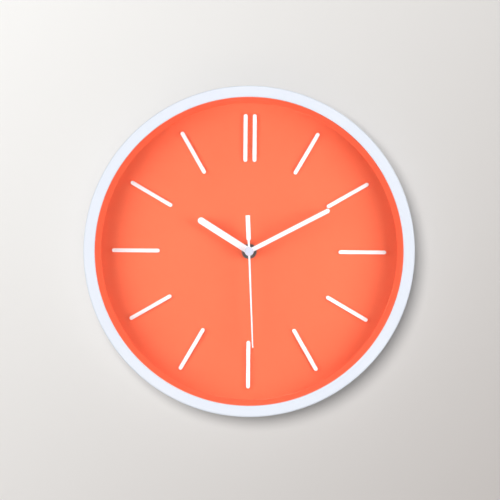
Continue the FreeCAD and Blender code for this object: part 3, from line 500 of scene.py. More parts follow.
def set_inputs(tree: bpy.types.NodeTree, node: bpy.types.Node, inputs: dict[Any, Any]) -> None:
    """Give a node's inputs their values and links.

    Args:
        tree: The node tree.
        node: The node.
        inputs: A value or a linked output socket for each input, by name or number.
    """
    for name, value in inputs.items():
        if isinstance(value, bpy.types.NodeSocket):
            tree.links.new(value, node.inputs[name])
        else:
            node.inputs[name].default_value = value


def add_node(tree: bpy.types.NodeTree, kind: str, inputs: dict[Any, Any] | None = None,
             **settings: Any) -> bpy.types.Node:
    """Add a node with its settings, its input values and its links.

    Args:
        tree: The node tree.
        kind: The node's type.
        inputs: A value or a linked output socket for each input, by name or number.
        **settings: The node's own properties.

    Returns:
        The new node.
    """
    node = tree.nodes.new(kind)
    for name, value in settings.items():
        setattr(node, name, value)
    set_inputs(tree, node, inputs or {})
    return node


def find_node(tree: bpy.types.NodeTree, kind: str) -> bpy.types.Node:
    """Give the node of one type that a new tree starts with."""
    return next(node for node in tree.nodes if node.type == kind)


@dataclass(frozen=True)
class Bench:
    """A material that is being made: its tree, its main shader and object coordinates."""

    tree: bpy.types.NodeTree
    shader: bpy.types.Node
    place: bpy.types.NodeSocket

    def feed(self, inputs: dict[Any, Any]) -> None:
        """Give the main shader's inputs their values and links."""
        set_inputs(self.tree, self.shader, inputs)

    def stretched(self, *scale: float) -> bpy.types.NodeSocket:
        """Give the coordinates scaled along x, y and z."""
        node = add_node(self.tree, "ShaderNodeMapping", {"Vector": self.place, "Scale": scale})
        return node.outputs[0]

    def noise(self, size: float, detail: float, place: bpy.types.NodeSocket | None = None,
              **inputs: float) -> bpy.types.NodeSocket:
        """Add a cloudy pattern.

        Args:
            size: Width of its features in millimetres.
            detail: How many finer layers it has.
            place: Coordinates to use instead of the object's own.
            **inputs: Values of its other inputs.

        Returns:
            The pattern's value.
        """
        where = self.place if place is None else place
        node = add_node(self.tree, "ShaderNodeTexNoise",
                        {"Vector": where, "Scale": per_mm(size), "Detail": detail, **inputs})
        return node.outputs["Fac"]

    def spread(self, value: bpy.types.NodeSocket,
               limits: dict[str, float]) -> bpy.types.NodeSocket:
        """Map a value from one range to another; each is 0 to 1 unless its limits are given."""
        node = add_node(self.tree, "ShaderNodeMapRange", {"Value": value, **limits})
        return node.outputs["Result"]

    def blend(self, share: bpy.types.NodeSocket, colour: str, other: str) -> bpy.types.NodeSocket:
        """Go from one hex colour to another as a value goes from 0 to 1."""
        node = add_node(self.tree, "ShaderNodeMix",
                        {0: share, 6: linear(colour), 7: linear(other)}, data_type="RGBA")
        return node.outputs[2]

    def relief(self, height: bpy.types.NodeSocket, depth: float,
               strength: float = 1.0) -> bpy.types.NodeSocket:
        """Raise a pattern by a depth in millimetres, and give the bumps' normals."""
        node = add_node(self.tree, "ShaderNodeBump",
                        {"Height": height, "Strength": strength, "Distance": depth * MM})
        return node.outputs[0]

    def let_through(self, where: bpy.types.NodeSocket) -> None:
        """Make the material clear to every ray for which a value is one.

        Args:
            where: The value's output.
        """
        clear = add_node(self.tree, "ShaderNodeBsdfTransparent")
        mixed = add_node(self.tree, "ShaderNodeMixShader",
                         {0: where, 1: self.shader.outputs[0], 2: clear.outputs[0]})
        output = find_node(self.tree, "OUTPUT_MATERIAL")
        set_inputs(self.tree, output, {"Surface": mixed.outputs[0]})


@dataclass(frozen=True)
class Finish:
    """A surface: its material is made once, the first time that it is asked for."""

    name: str
    colour: str
    roughness: float

    def material(self) -> bpy.types.Material:
        """Give the finish's material, making it the first time."""
        made = bpy.data.materials.get(self.name)
        if made is None:
            made = bpy.data.materials.new(self.name)
            made.use_nodes = True
            tree = made.node_tree
            place = add_node(tree, "ShaderNodeTexCoord").outputs["Object"]
            bench = Bench(tree, find_node(tree, "BSDF_PRINCIPLED"), place)
            bench.feed({"Base Color": linear(self.colour), "Roughness": self.roughness})
            self.draw(bench)
        return made

    def gloss_range(self, swing: float) -> dict[str, float]:
        """Roughness limits for a pattern that swings it up and down by the same amount."""
        return {"To Min": self.roughness - swing, "To Max": self.roughness + swing}

    def draw(self, bench: Bench) -> None:
        """Add the finish's own nodes.

        Args:
            bench: The material that is being made.
        """
        raise NotImplementedError


@dataclass(frozen=True)
class Moulded(Finish):
    """Injection-moulded plastic.

    The mould's spark-eroded skin gives a fine grain that breaks up the gloss, and the melt's
    flow leaves slow, faint changes of tone.
    """

    tone: str = "#808080"
    tone_size: float = 30.0
    grain_size: float = 0.5
    grain_relief: float = 0.012
    gloss_swing: float = 0.06
    ior: float = 1.5
    coat: float = 0.0

    def draw(self, bench: Bench) -> None:
        """Add the flow tones, the grain and the broken gloss.

        Args:
            bench: The material that is being made.
        """
        flow = bench.noise(self.tone_size, 2.0)
        tint = bench.blend(bench.spread(flow, NOISE_RANGE), self.colour, self.tone)
        grain = bench.noise(self.grain_size, 3.0, Roughness=0.6)
        gloss = bench.spread(grain, {**NOISE_RANGE, **self.gloss_range(self.gloss_swing)})
        bench.feed({
            "IOR": self.ior, "Coat Weight": self.coat, "Base Color": tint,
            "Normal": bench.relief(grain, self.grain_relief), "Roughness": gloss})


@dataclass(frozen=True)
class Lacquered(Finish):
    """Stamped aluminium under sprayed lacquer: a faint orange peel and a few dust specks."""

    speck: str = "#d8dce2"
    peel_size: float = 1.6
    peel_relief: float = 0.006
    speck_size: float = 1.1
    gloss_swing: float = 0.05

    def draw(self, bench: Bench) -> None:
        """Add the orange peel and the specks.

        Args:
            bench: The material that is being made.
        """
        peel = bench.noise(self.peel_size, 1.0)
        dust = add_node(bench.tree, "ShaderNodeTexVoronoi",
                        {"Vector": bench.place, "Scale": per_mm(self.speck_size)})
        near = bench.spread(dust.outputs["Distance"], {"From Min": 0.04, "From Max": 0.12})
        gloss = bench.spread(peel, self.gloss_range(self.gloss_swing))
        bench.feed({
            "Base Color": bench.blend(near, self.speck, self.colour),
            "Normal": bench.relief(peel, self.peel_relief), "Roughness": gloss})


@dataclass(frozen=True)
class TurnedMetal(Finish):
    """Metal from a lathe: fine rings round its axis that stretch the highlights."""

    ring_size: float = 0.25
    ring_relief: float = 0.006
    gloss_swing: float = 0.08
    metallic: float = 1.0

    def draw(self, bench: Bench) -> None:
        """Add the tool's rings to the relief and the gloss.

        Args:
            bench: The material that is being made.
        """
        radius = add_node(bench.tree, "ShaderNodeVectorMath", {0: bench.stretched(1, 0, 1)},
                          operation="LENGTH")
        rings = add_node(bench.tree, "ShaderNodeTexNoise",
                         {"W": radius.outputs["Value"], "Scale": per_mm(self.ring_size),
                          "Detail": 2.0}, noise_dimensions="1D").outputs["Fac"]
        gloss = bench.spread(rings, {**NOISE_RANGE, **self.gloss_range(self.gloss_swing)})
        bench.feed({
            "Metallic": self.metallic, "Normal": bench.relief(rings, self.ring_relief),
            "Roughness": gloss})


@dataclass(frozen=True)
class PlatedSheet(Finish):
    """Rolled sheet or wire with a thin zinc or nickel plate: faint spangle and roll lines."""

    spangle: str = "#b9bec4"
    spangle_size: float = 2.5
    line_size: float = 0.3
    line_stretch: float = 0.05
    line_relief: float = 0.004
    brighter: float = 0.08
    duller: float = 0.1

    def draw(self, bench: Bench) -> None:
        """Add the spangle and the roll lines along x.

        Args:
            bench: The material that is being made.
        """
        cells = add_node(bench.tree, "ShaderNodeTexVoronoi",
                         {"Vector": bench.place, "Scale": per_mm(self.spangle_size)})
        level = add_node(bench.tree, "ShaderNodeSeparateColor", {0: cells.outputs["Color"]})
        tint = bench.blend(level.outputs[0], self.colour, self.spangle)
        lines = bench.noise(self.line_size, 3.0, bench.stretched(self.line_stretch, 1, 1))
        gloss = bench.spread(lines, {**NOISE_RANGE, "To Min": self.roughness - self.brighter,
                                     "To Max": self.roughness + self.duller})
        bench.feed({
            "Metallic": 1.0, "Base Color": tint, "Normal": bench.relief(lines, self.line_relief),
            "Roughness": gloss})


@dataclass(frozen=True)
class ClearPane(Finish):
    """Clear sheet: light passes straight through it, with faint wipe marks in its gloss."""

    ior: float = 1.49
    wipe_size: float = 25.0
    wipe_stretch: float = 0.3

    def draw(self, bench: Bench) -> None:
        """Let light through, so that the dial behind is lit as in the open.

        Args:
            bench: The material that is being made.
        """
        marks = bench.noise(self.wipe_size, 4.0, bench.stretched(1, 1, self.wipe_stretch))
        gloss = bench.spread(marks, {"From Min": 0.4, "From Max": 0.7, "To Min": 0.0,
                                     "To Max": self.roughness})
        bench.feed({"IOR": self.ior, "Transmission Weight": 1.0, "Roughness": gloss})
        ray = add_node(bench.tree, "ShaderNodeLightPath")
        bench.let_through(ray.outputs["Is Shadow Ray"])


@dataclass(frozen=True)
class PrintedSleeve(Finish):
    """Printed shrink film round the cell: a plain body with one coloured band, and a soft gloss."""

    band: str = "#1f7d6b"
    band_from: float = 9.0
    ink_size: float = 0.4
    gloss_swing: float = 0.06
    coat: float = 0.4

    def draw(self, bench: Bench) -> None:
        """Add the band and the ink's fine unevenness.

        Args:
            bench: The material that is being made.
        """
        along = add_node(bench.tree, "ShaderNodeSeparateXYZ", {0: bench.place})
        banded = add_node(bench.tree, "ShaderNodeMath",
                          {0: along.outputs["X"], 1: self.band_from * MM},
                          operation="GREATER_THAN")
        tint = bench.blend(banded.outputs[0], self.colour, self.band)
        ink = bench.noise(self.ink_size, 2.0)
        gloss = bench.spread(ink, self.gloss_range(self.gloss_swing))
        bench.feed({"Coat Weight": self.coat, "Base Color": tint, "Roughness": gloss})


@dataclass(frozen=True)
class WoundWire(Finish):
    """Enamelled copper wire wound in even turns, drawn coarser than real so that it shows."""

    # Darker copper for the grooves between turns: painted shade.
    gap: str = "#6b2410"
    wire: float = 0.25
    turn_relief: float = 0.03
    waver: float = 0.4
    metallic: float = 0.8

    def draw(self, bench: Bench) -> None:
        """Add the turns across x, with painted shade darkening the grooves between them.

        Args:
            bench: The material that is being made.
        """
        # Painted shade: the darker colour fills the grooves between the turns, where shade falls.
        turns = add_node(bench.tree, "ShaderNodeTexWave",
                         {"Vector": bench.place, "Scale": per_mm(self.wire) / math.tau,
                          "Distortion": self.waver}, bands_direction="X").outputs["Fac"]
        bench.feed({
            "Metallic": self.metallic, "Base Color": bench.blend(turns, self.gap, self.colour),
            "Normal": bench.relief(turns, self.turn_relief)})


@dataclass(frozen=True)
class Backdrop(Finish):
    """Studio wall whose colour carries painted light: it grades from a lit tone at the upper left
    to painted shade at the lower right, in place of the key light's falloff.
    """

    # The darker colour towards the lower right is painted shade.
    far_colour: str = "#cdc8c5"
    reach: float = 0.32
    nap_size: float = 2.0
    nap_relief: float = 0.01
    nap_strength: float = 0.4

    def draw(self, bench: Bench) -> None:
        """Add the colour gradient that paints the key light's falloff and shade across the wall,
        and let the wall be looked through from behind.

        Args:
            bench: The material that is being made.
        """
        # Painted light: the base colour darkens along this diagonal from the upper left to the
        # lower right, as shade from an upper-left key light.
        falloff_axis = add_node(bench.tree, "ShaderNodeVectorMath",
                            {0: bench.place, 1: (math.sqrt(0.5), 0, -math.sqrt(0.5))},
                            operation="DOT_PRODUCT")
        share = bench.spread(falloff_axis.outputs["Value"],
                             {"From Min": -self.reach, "From Max": self.reach})
        tint = bench.blend(share, self.colour, self.far_colour)
        nap = bench.noise(self.nap_size, 2.0)
        bench.feed({
            "Specular IOR Level": 0.0, "Base Color": tint,
            "Normal": bench.relief(nap, self.nap_relief, self.nap_strength)})
        side = add_node(bench.tree, "ShaderNodeNewGeometry")
        bench.let_through(side.outputs["Backfacing"])


# Polystyrene from a fine-etched mould: satin white with a cool cast.
RIM_WHITE = Moulded("moulded_white_polystyrene", "#ebf0fa", 0.42, tone="#e7edf8",
                    tone_size=60.0, grain_size=0.6, grain_relief=0.008)
# ABS coloured right through, from a matt spark-eroded mould: dry, even orange.
DIAL_ORANGE = Moulded("moulded_orange_abs", "#f07150", 0.55, tone="#f06f4e", tone_size=45.0,
                      grain_size=0.5, grain_relief=0.012)
# Polystyrene bars from a polished mould: clean white with a soft shine.
MARKER_WHITE = Moulded("moulded_white_markers", "#fafcff", 0.35, tone="#f7fafe",
                       tone_size=12.0, grain_size=0.4, grain_relief=0.004)
HAND_WHITE = Lacquered("white_lacquered_aluminium", "#f4f8fd", 0.35)
# The cap's lacquer is a cool grey, so that the hub reads as a disc over the white hands.
CAP_GREY = Lacquered("pale_grey_lacquer", "#ccd5e6", 0.4)
# Black-plated brass: dark, with a bright line where light catches the lathe's rings. Its base
# colour is a mid grey with little metal in it: partly the plating's own dark tone and partly a
# painted reflection of pale surroundings.
NUT_DARK = TurnedMetal("black_plated_brass", "#656f71", 0.45, metallic=0.35)
BRASS = TurnedMetal("turned_brass", "#d2ab5e", 0.3)
CASE_BLACK = Moulded("moulded_black_abs", "#17181a", 0.5, tone="#1c1d20", tone_size=9.0,
                     grain_size=0.45, grain_relief=0.03, gloss_swing=0.08)
KNOB_BLACK = Moulded("moulded_black_acetal", "#1e1f21", 0.36, tone="#232427", tone_size=5.0,
                     grain_size=0.3, grain_relief=0.006)
TRAIN_WHITE = Moulded("moulded_natural_acetal", "#e9e6dc", 0.32, tone="#dedacb",
                      tone_size=3.0, grain_size=0.2, grain_relief=0.003)
NYLON = Moulded("moulded_white_nylon", "#e6e0d0", 0.45, tone="#dcd5c2", tone_size=4.0,
                grain_size=0.3, grain_relief=0.005)
RUBBER = Moulded("moulded_black_rubber", "#161616", 0.78, tone="#1d1c1b", tone_size=4.0,
                 grain_size=0.25, grain_relief=0.01, ior=1.52)
RESIN = Moulded("black_epoxy_drop", "#0d0e10", 0.22, tone="#121315", tone_size=2.0,
                grain_size=0.6, grain_relief=0.004, ior=1.55)
BOARD = Moulded("green_solder_mask", "#1d6a3a", 0.3, tone="#175a31", tone_size=1.6,
                grain_size=0.3, grain_relief=0.006, coat=0.3)
FERRITE = Moulded("sintered_ferrite", "#2b2c2e", 0.6, tone="#343537", tone_size=1.0,
                  grain_size=0.15, grain_relief=0.01, ior=2.0)
ZINC = PlatedSheet("zinc_plated_steel", "#a9afb6", 0.34)
NICKEL = PlatedSheet("nickel_plated_steel", "#c3c1bb", 0.22, spangle="#cbc9c4",
                     spangle_size=1.0)
IRON = PlatedSheet("annealed_soft_iron", "#8d8b88", 0.42, spangle="#817f7c", spangle_size=1.2)
COPPER = WoundWire("enamelled_copper_wire", "#c4622d", 0.3)
SLEEVE = PrintedSleeve("printed_film", "#c9ced3", 0.3)
PANE = ClearPane("clear_acrylic", "#ffffff", 0.02)
# The wall's colour grades to a darker tone at the lower right: painted light falloff and shade.
WALL_PAINT = Backdrop("painted_wall", "#f9f8f6", 0.9)
FLOOR_PAINT = Moulded("pale_floor_paint", "#d9d7d4", 0.8, tone="#d4d2cf", tone_size=400.0,
                      grain_size=3.0, grain_relief=0.02)


def dress(piece: Mesh, finish: Finish) -> None:
    """Give a piece one finish all over."""
    piece.data.materials.clear()
    piece.data.materials.append(finish.material())


def hand_in(piece: Mesh, body: str, slot: str, finish: Finish, *nodes: str) -> Mesh:
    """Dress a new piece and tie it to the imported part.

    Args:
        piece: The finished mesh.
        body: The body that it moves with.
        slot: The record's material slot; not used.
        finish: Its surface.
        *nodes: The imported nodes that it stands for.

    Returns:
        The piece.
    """
    apply_modifier(piece, "WEIGHTED_NORMAL", keep_sharp=True, weight=80)
    dress(piece, finish)
    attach(piece, body)
    if nodes:
        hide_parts(*nodes)
    LOG.info("%s: %d faces, %s, rides on %s", piece.name, len(piece.data.polygons), finish.name,
             body)
    return piece


# ---------------------------------------------------------------- the clock

def reach_of(node: str) -> tuple[float, float]:
    """Length in millimetres and clockwise angle of a packed hand, from its furthest point."""
    spots = [v.co for v in frame["nodes"][node].data.vertices]
    tip = max(spots, key=lambda co: math.hypot(co.x, co.z))
    return math.hypot(tip.x, tip.z) / MM, math.degrees(math.atan2(tip.x, tip.z))


def depths_of(node: str) -> tuple[float, float]:
    """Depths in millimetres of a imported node's back and front."""
    low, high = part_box(node)
    return -high.y / MM, -low.y / MM


@dataclass
class Rim:
    """White outer frame: a flat front ring on a deep wall, with screw bosses inside."""

    face_width: float = 10.3
    wall: float = 2.6
    web: float = 2.4
    edge_round: float = 1.8
    lip_round: float = 0.7
    foot_round: float = 0.6
    boss_circle: float = 144.6
    boss_radius: float = 2.5
    boss_bore: float = 1.1
    boss_back: float = 30.0
    bore_depth: float = 6.0
    boss_count: int = 8
    boss_start: float = 22.5

    def build(self) -> None:
        """Turn the frame and stand its bosses inside it."""
        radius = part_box("rim")[1].x / MM
        back, front = depths_of("rim")
        inner = radius - self.face_width
        web_back = front - self.web
        rim = turn("rim_frame", [
            (radius, back, self.foot_round),
            (radius, front, self.edge_round),
            (inner, front, self.lip_round),
            (inner, web_back, 0.3),
            (radius - self.wall, web_back, 0.8),
            (radius - self.wall, back, self.foot_round),
        ], steps=256)
        boss = turn("rim_boss", [
            (self.boss_bore, self.boss_back, 0.2),
            (self.boss_radius, self.boss_back, 0.3),
            (self.boss_radius, web_back + OVERLAP, 0),
            (0.0, web_back + OVERLAP, 0),
            (0.0, self.boss_back + self.bore_depth, 0),
            (self.boss_bore, self.boss_back + self.bore_depth, 0),
        ], steps=24)
        boss.data.transform(clockwise(self.boss_start) @ shift(z=self.boss_circle))
        join(rim, ring_of(boss, self.boss_count))
        hand_in(rim, "clock_body", "rim_white", RIM_WHITE, "rim")


@dataclass
class Dial:
    """Orange dish: flat face, sloping wall, screw ears, hanger posts and the case's frame."""

    face: float = 20.0
    thickness: float = 2.0
    crease_radius: float = 136.2
    crease_round: float = 1.2
    mouth_radius: float = 139.9
    wall: float = 2.0
    hole: float = 4.1
    ear_inner: float = 139.2
    ear_outer: float = 147.2
    ear_width: float = 8.0
    ear_back: float = 28.0
    ear_thickness: float = 2.0
    ear_hole: float = 1.5
    ear_corner: float = 1.5
    edge_round: float = 0.25
    ear_count: int = 8
    ear_start: float = 22.5
    hole_circle: float = 144.6
    post_x: float = 14.0
    post_height: float = 112.0
    post_radius: float = 3.5
    pilot_radius: float = 1.1
    pilot_depth: float = 9.0
    fence_half: float = 28.4
    fence_wall: float = 2.0
    fence_height: float = 2.0
    fence_corner: float = 1.2

    def build(self) -> None:
        """Turn the dish and add what stands on its back."""
        _, mouth = depths_of("dial")
        back = self.face - self.thickness
        dish = turn("dial_dish", [
            (self.hole, back, 0.3),
            (self.crease_radius + self.wall, back, 1.5),
            (self.mouth_radius + self.wall, mouth, 0.4),
            (self.mouth_radius, mouth, 0.3),
            (self.crease_radius, self.face, self.crease_round),
            (self.hole, self.face, 0.3),
        ], steps=256)
        join(dish, self.ears(), *self.posts(back), self.fence(back))
        hand_in(dish, "clock_body", "dial_orange", DIAL_ORANGE, "dial")

    def ears(self) -> Mesh:
        """Make the drilled ears that the screws go through."""
        half = self.ear_width / 2
        ear = plate("dial_ear", [
            (-half, self.ear_inner, 0),
            (half, self.ear_inner, 0),
            (half, self.ear_outer, self.ear_corner),
            (-half, self.ear_outer, self.ear_corner),
        ], self.ear_back, self.ear_back + self.ear_thickness)
        drill = rod("ear_drill", self.ear_hole, self.ear_back - THROUGH,
                    self.ear_back + self.ear_thickness + THROUGH, z=self.hole_circle, sides=24)
        combine(ear, "DIFFERENCE", drill)
        round_edges(ear, self.edge_round)
        ear.data.transform(clockwise(self.ear_start))
        return ring_of(ear, self.ear_count)

    def posts(self, back: float) -> list[Mesh]:
        """Make the two posts that carry the hanger plate.

        Args:
            back: Depth of the dish's back face.

        Returns:
            The posts.
        """
        start = depths_of("hanger_plate")[1]
        post = turn("hanger_post", [
            (self.pilot_radius, start, 0.2),
            (self.post_radius, start, 0.3),
            (self.post_radius, back + OVERLAP, 0),
            (0.0, back + OVERLAP, 0),
            (0.0, start + self.pilot_depth, 0),
            (self.pilot_radius, start + self.pilot_depth, 0),
        ], steps=40)
        twin = copy_of(post, "hanger_post_right", shift(self.post_x, self.post_height))
        post.data.transform(shift(-self.post_x, self.post_height))
        return [post, twin]

    def fence(self, back: float) -> Mesh:
        """Make the low square frame that the movement's case stands in.

        Args:
            back: Depth of the dish's back face.

        Returns:
            The frame.
        """
        low, high = back - self.fence_height, back + OVERLAP
        outer = self.fence_half + self.fence_wall
        frame_wall = block("case_fence", -outer, outer, -outer, outer, low, high,
                           corner=self.fence_corner)
        window = block("fence_window", -self.fence_half, self.fence_half, -self.fence_half,
                       self.fence_half, low - THROUGH, high + THROUGH)
        return round_edges(combine(frame_wall, "DIFFERENCE", window), self.edge_round)


@dataclass
class Markers:
    """Thirteen raised bars with round ends: two side by side at twelve, one at each hour."""

    length: float = 43.7
    width: float = 3.55
    centre: float = 103.8
    edge_round: float = 0.45
    pair_pitch: float = 8.4

    def build(self) -> None:
        """Model one bar and copy it to every hour."""
        back, front = depths_of("marker_12_left")
        half = self.width / 2
        low, high = self.centre - self.length / 2, self.centre + self.length / 2
        pattern = plate("marker_pattern", [
            (-half, low, half * ROUND_END),
            (half, low, half * ROUND_END),
            (half, high, half * ROUND_END),
            (-half, high, half * ROUND_END),
        ], back, front)
        with editing(pattern):
            choose(pattern, Element.FACES, lambda f: f.normal.y < -ALONG)
            bpy.ops.mesh.region_to_loop()
            bpy.ops.mesh.bevel(offset=self.edge_round * MM, segments=4, affect="EDGES")
        shade(pattern)
        places = {"marker_12_left": shift(-self.pair_pitch / 2),
                  "marker_12_right": shift(self.pair_pitch / 2)}
        places.update({"marker_%02d" % hour: clockwise(hour * 30.0) for hour in range(1, 12)})
        for node, placing in places.items():
            bar = copy_of(pattern, node.replace("marker", "bar"), placing)
            hand_in(bar, "clock_body", "marker_white", MARKER_WHITE, node)
        bpy.data.objects.remove(pattern)


@dataclass
class Hands:
    """The three hands and the cap over the second hand's hub."""

    hour_width: float = 6.0
    hour_hub: float = 4.1
    hour_bore: float = 2.5
    minute_width: float = 4.0
    minute_hub: float = 3.9
    minute_bore: float = 1.6
    thickness: float = 0.6
    collet_wall: float = 0.7
    second_root: float = 1.8
    second_tip: float = 1.1
    neck_width: float = 2.0
    neck_end: float = 9.7
    shoulder_end: float = 11.1
    tail_width: float = 4.0
    tail_length: float = 32.8
    seconds_shaft: float = 0.5
    cap_overhang: float = 0.4

    def build(self) -> None:
        """Cut and dress each hand."""
        self.flat_hand("hour", self.hour_width, self.hour_hub, self.hour_bore, "hours")
        self.flat_hand("minute", self.minute_width, self.minute_hub, self.minute_bore, "minutes")
        self.second_hand()
        self.cap()

    def flat_hand(self, name: str, width: float, hub: float, bore: float, body: str) -> None:
        """Make a straight hand with a round tip on a round hub.

        Args:
            name: Which hand.
            width: Its width.
            hub: Radius of its hub.
            bore: Radius of its hole.
            body: The body that it moves with.
        """
        node = name + "_hand"
        length, angle = reach_of(node)
        back, front = depths_of(node)
        leaf_back = front - self.thickness
        half = width / 2
        leaf = plate(name + "_leaf", [
            (-half, 0, 0),
            (half, 0, 0),
            (half, length, half * ROUND_END),
            (-half, length, half * ROUND_END),
        ], leaf_back, front)
        disc = rod(name + "_hub", hub, leaf_back, front, sides=64)
        collet = rod(name + "_collet", bore + self.collet_wall, back, leaf_back + OVERLAP / 2,
                     sides=48)
        combine(leaf, "UNION", disc, collet)
        combine(leaf, "DIFFERENCE",
                rod(name + "_bore", bore, back - THROUGH, front + THROUGH, sides=48))
        round_edges(leaf, 0.14, segments=3)
        leaf.data.transform(clockwise(angle))
        hand_in(leaf, body, "hand_white", HAND_WHITE, node)

    def second_hand(self) -> None:
        """Make the tapering hand with its square-ended counterweight."""
        length, angle = reach_of("second_hand")
        back, front = depths_of("second_hand")
        right = [
            (self.tail_width / 2, -self.tail_length, 0.25),
            (self.tail_width / 2, -self.shoulder_end, 0.5),
            (self.neck_width / 2, -self.neck_end, 0.5),
            (self.second_root / 2, 0.0, 0),
            (self.second_tip / 2, length, 0.45),
        ]
        left = [(-x, z, rounding) for x, z, rounding in reversed(right)]
        leaf = plate("second_leaf", right + left, back, front)
        disc = rod("second_hub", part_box("second_hand_cap")[1].x / MM - self.cap_overhang, back,
                   front, sides=64)
        combine(leaf, "UNION", disc)
        combine(leaf, "DIFFERENCE",
                rod("second_bore", self.seconds_shaft, back - THROUGH, front + THROUGH, sides=24))
        round_edges(leaf, 0.1)
        leaf.data.transform(clockwise(angle))
        hand_in(leaf, "seconds", "hand_white", HAND_WHITE, "second_hand")

    def cap(self) -> None:
        """Turn the cap, hollow where the seconds shaft ends in it."""
        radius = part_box("second_hand_cap")[1].x / MM
        back, front = depths_of("second_hand_cap")
        shaft_end = depths_of("seconds_wheel")[1]
        cap = turn("hub_cap", [
            (0.0, shaft_end, 0),
            (self.seconds_shaft, shaft_end, 0),
            (self.seconds_shaft, back, 0),
            (radius, back, 0.1),
            (radius, front, 0.5),
            (0.0, front, 0),
        ], steps=96, closed=False)
        hand_in(cap, "seconds", "hand_white", CAP_GREY, "second_hand_cap")


@dataclass
class ClampNut:
    """Round dark nut with a dished front and fine grip notches."""

    bore: float = 4.0
    chamfer: float = 0.45
    dish_inner: float = 4.4
    dish_outer: float = 5.9
    dish_depth: float = 0.6
    notch_count: int = 30
    notch_depth: float = 0.3
    notch_share: float = 0.25
    grip_inner: float = 6.8
    grip_area: float = 0.5

    def build(self) -> None:
        """Turn the nut and press its notches in."""
        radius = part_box("hand_nut")[1].x / MM
        back, front = depths_of("hand_nut")
        nut = turn("clamp_nut", [
            (self.bore, back, 0),
            (radius, back, 0.2),
            (radius, front - self.chamfer, 0),
            (radius - self.chamfer, front, 0),
            (self.dish_outer, front, 0.1),
            (self.dish_inner, front - self.dish_depth, 0.1),
            (self.bore, front - self.dish_depth, 0),
        ], steps=self.notch_count * 4)
        pitch = math.tau / self.notch_count

        def in_notch(face: Any) -> bool:
            """Tell whether a face is one flat of the grip where a notch goes."""
            middle = face.calc_center_median()
            turned = math.atan2(middle.z, middle.x) % pitch
            level = abs(face.normal.y) < 1 - ALONG
            outside = math.hypot(middle.x, middle.z) > self.grip_inner * MM
            large = face.calc_area() > self.grip_area * MM * MM
            return level and outside and large and turned < pitch * self.notch_share

        with editing(nut):
            choose(nut, Element.FACES, in_notch)
            bpy.ops.mesh.extrude_faces_move(
                TRANSFORM_OT_shrink_fatten={"value": -self.notch_depth * MM})
        shade(nut, 25.0)
        hand_in(nut, "clock_body", "nut_dark", NUT_DARK, "hand_nut")


@dataclass
class Screws:
    """Zinc-plated self-tapping screws with a pan head and a cross recess."""

    head_radius: float = 2.4
    head_height: float = 1.5
    head_round: float = 0.7
    shank_radius: float = 1.1
    length: float = 7.9
    recess_length: float = 2.8
    recess_width: float = 0.7
    recess_depth: float = 0.8
    thread_pitch: float = 0.8
    thread_depth: float = 0.25
    tip_radius: float = 0.3
    tip_length: float = 1.0

    def build(self) -> None:
        """Model one screw and copy it to every place."""
        ring = self.screw("dial_screw_ring", Dial.ear_back)
        ring.data.transform(clockwise(Dial.ear_start) @ shift(z=Dial.hole_circle))
        hand_in(ring_of(ring, Dial.ear_count), "clock_body", "screw_steel", ZINC, "dial_screws")
        left = self.screw("hanger_screw_pair", depths_of("hanger_plate")[0])
        right = copy_of(left, "hanger_screw_right", shift(Dial.post_x, Dial.post_height))
        left.data.transform(shift(-Dial.post_x, Dial.post_height))
        hand_in(join(left, right), "clock_body", "screw_steel", ZINC, "hanger_screws")

    def screw(self, name: str, seat: float) -> Mesh:
        """Turn a screw on the hands' axis.

        Args:
            name: Name of the new object.
            seat: Depth of the face under its head.

        Returns:
            The screw.
        """
        top = seat - self.head_height
        section = [(0.0, top, 0), (self.head_radius, top, self.head_round),
                   (self.head_radius, seat, 0), (self.shank_radius, seat, 0)]
        end = seat + self.length
        thread = seat + self.thread_pitch
        while thread + self.thread_pitch < end - self.tip_length:
            section += [(self.shank_radius, thread, 0),
                        (self.shank_radius - self.thread_depth, thread + self.thread_pitch / 2, 0)]
            thread += self.thread_pitch
        section += [(self.shank_radius, thread, 0), (self.tip_radius, end, 0), (0.0, end, 0)]
        screw = turn(name, section, steps=32, closed=False)
        long, slim = self.recess_length / 2, self.recess_width / 2
        bars = [block("recess", -x, x, -z, z, top - THROUGH, top + self.recess_depth)
                for x, z in ((long, slim), (slim, long))]
        return combine(screw, "DIFFERENCE", *bars)


@dataclass
class Hanger:
    """Steel plate with the keyhole that hangs on the wall's screw."""

    width: float = 40.0
    tall: float = 20.0
    corner: float = 4.0
    entry_radius: float = 4.5
    slot_radius: float = 2.25
    entry_drop: float = 4.0
    slot_rise: float = 4.5

    def build(self) -> None:
        """Cut the plate and its keyhole."""
        back, front = depths_of("hanger_plate")
        middle = Dial.post_height
        half, rise = self.width / 2, self.tall / 2
        sheet = block("hanger_sheet", -half, half, middle - rise, middle + rise, back, front,
                      corner=self.corner)
        entry = middle - self.entry_drop
        top = middle + self.slot_rise
        under, over = back - THROUGH, front + THROUGH
        combine(sheet, "DIFFERENCE",
                rod("keyhole", self.entry_radius, under, over, z=entry),
                block("slot", -self.slot_radius, self.slot_radius, entry, top, under, over),
                rod("slot_end", self.slot_radius, under, over, z=top))
        round_edges(sheet, 0.15)
        hand_in(sheet, "clock_body", "hanger_steel", ZINC, "hanger_plate")


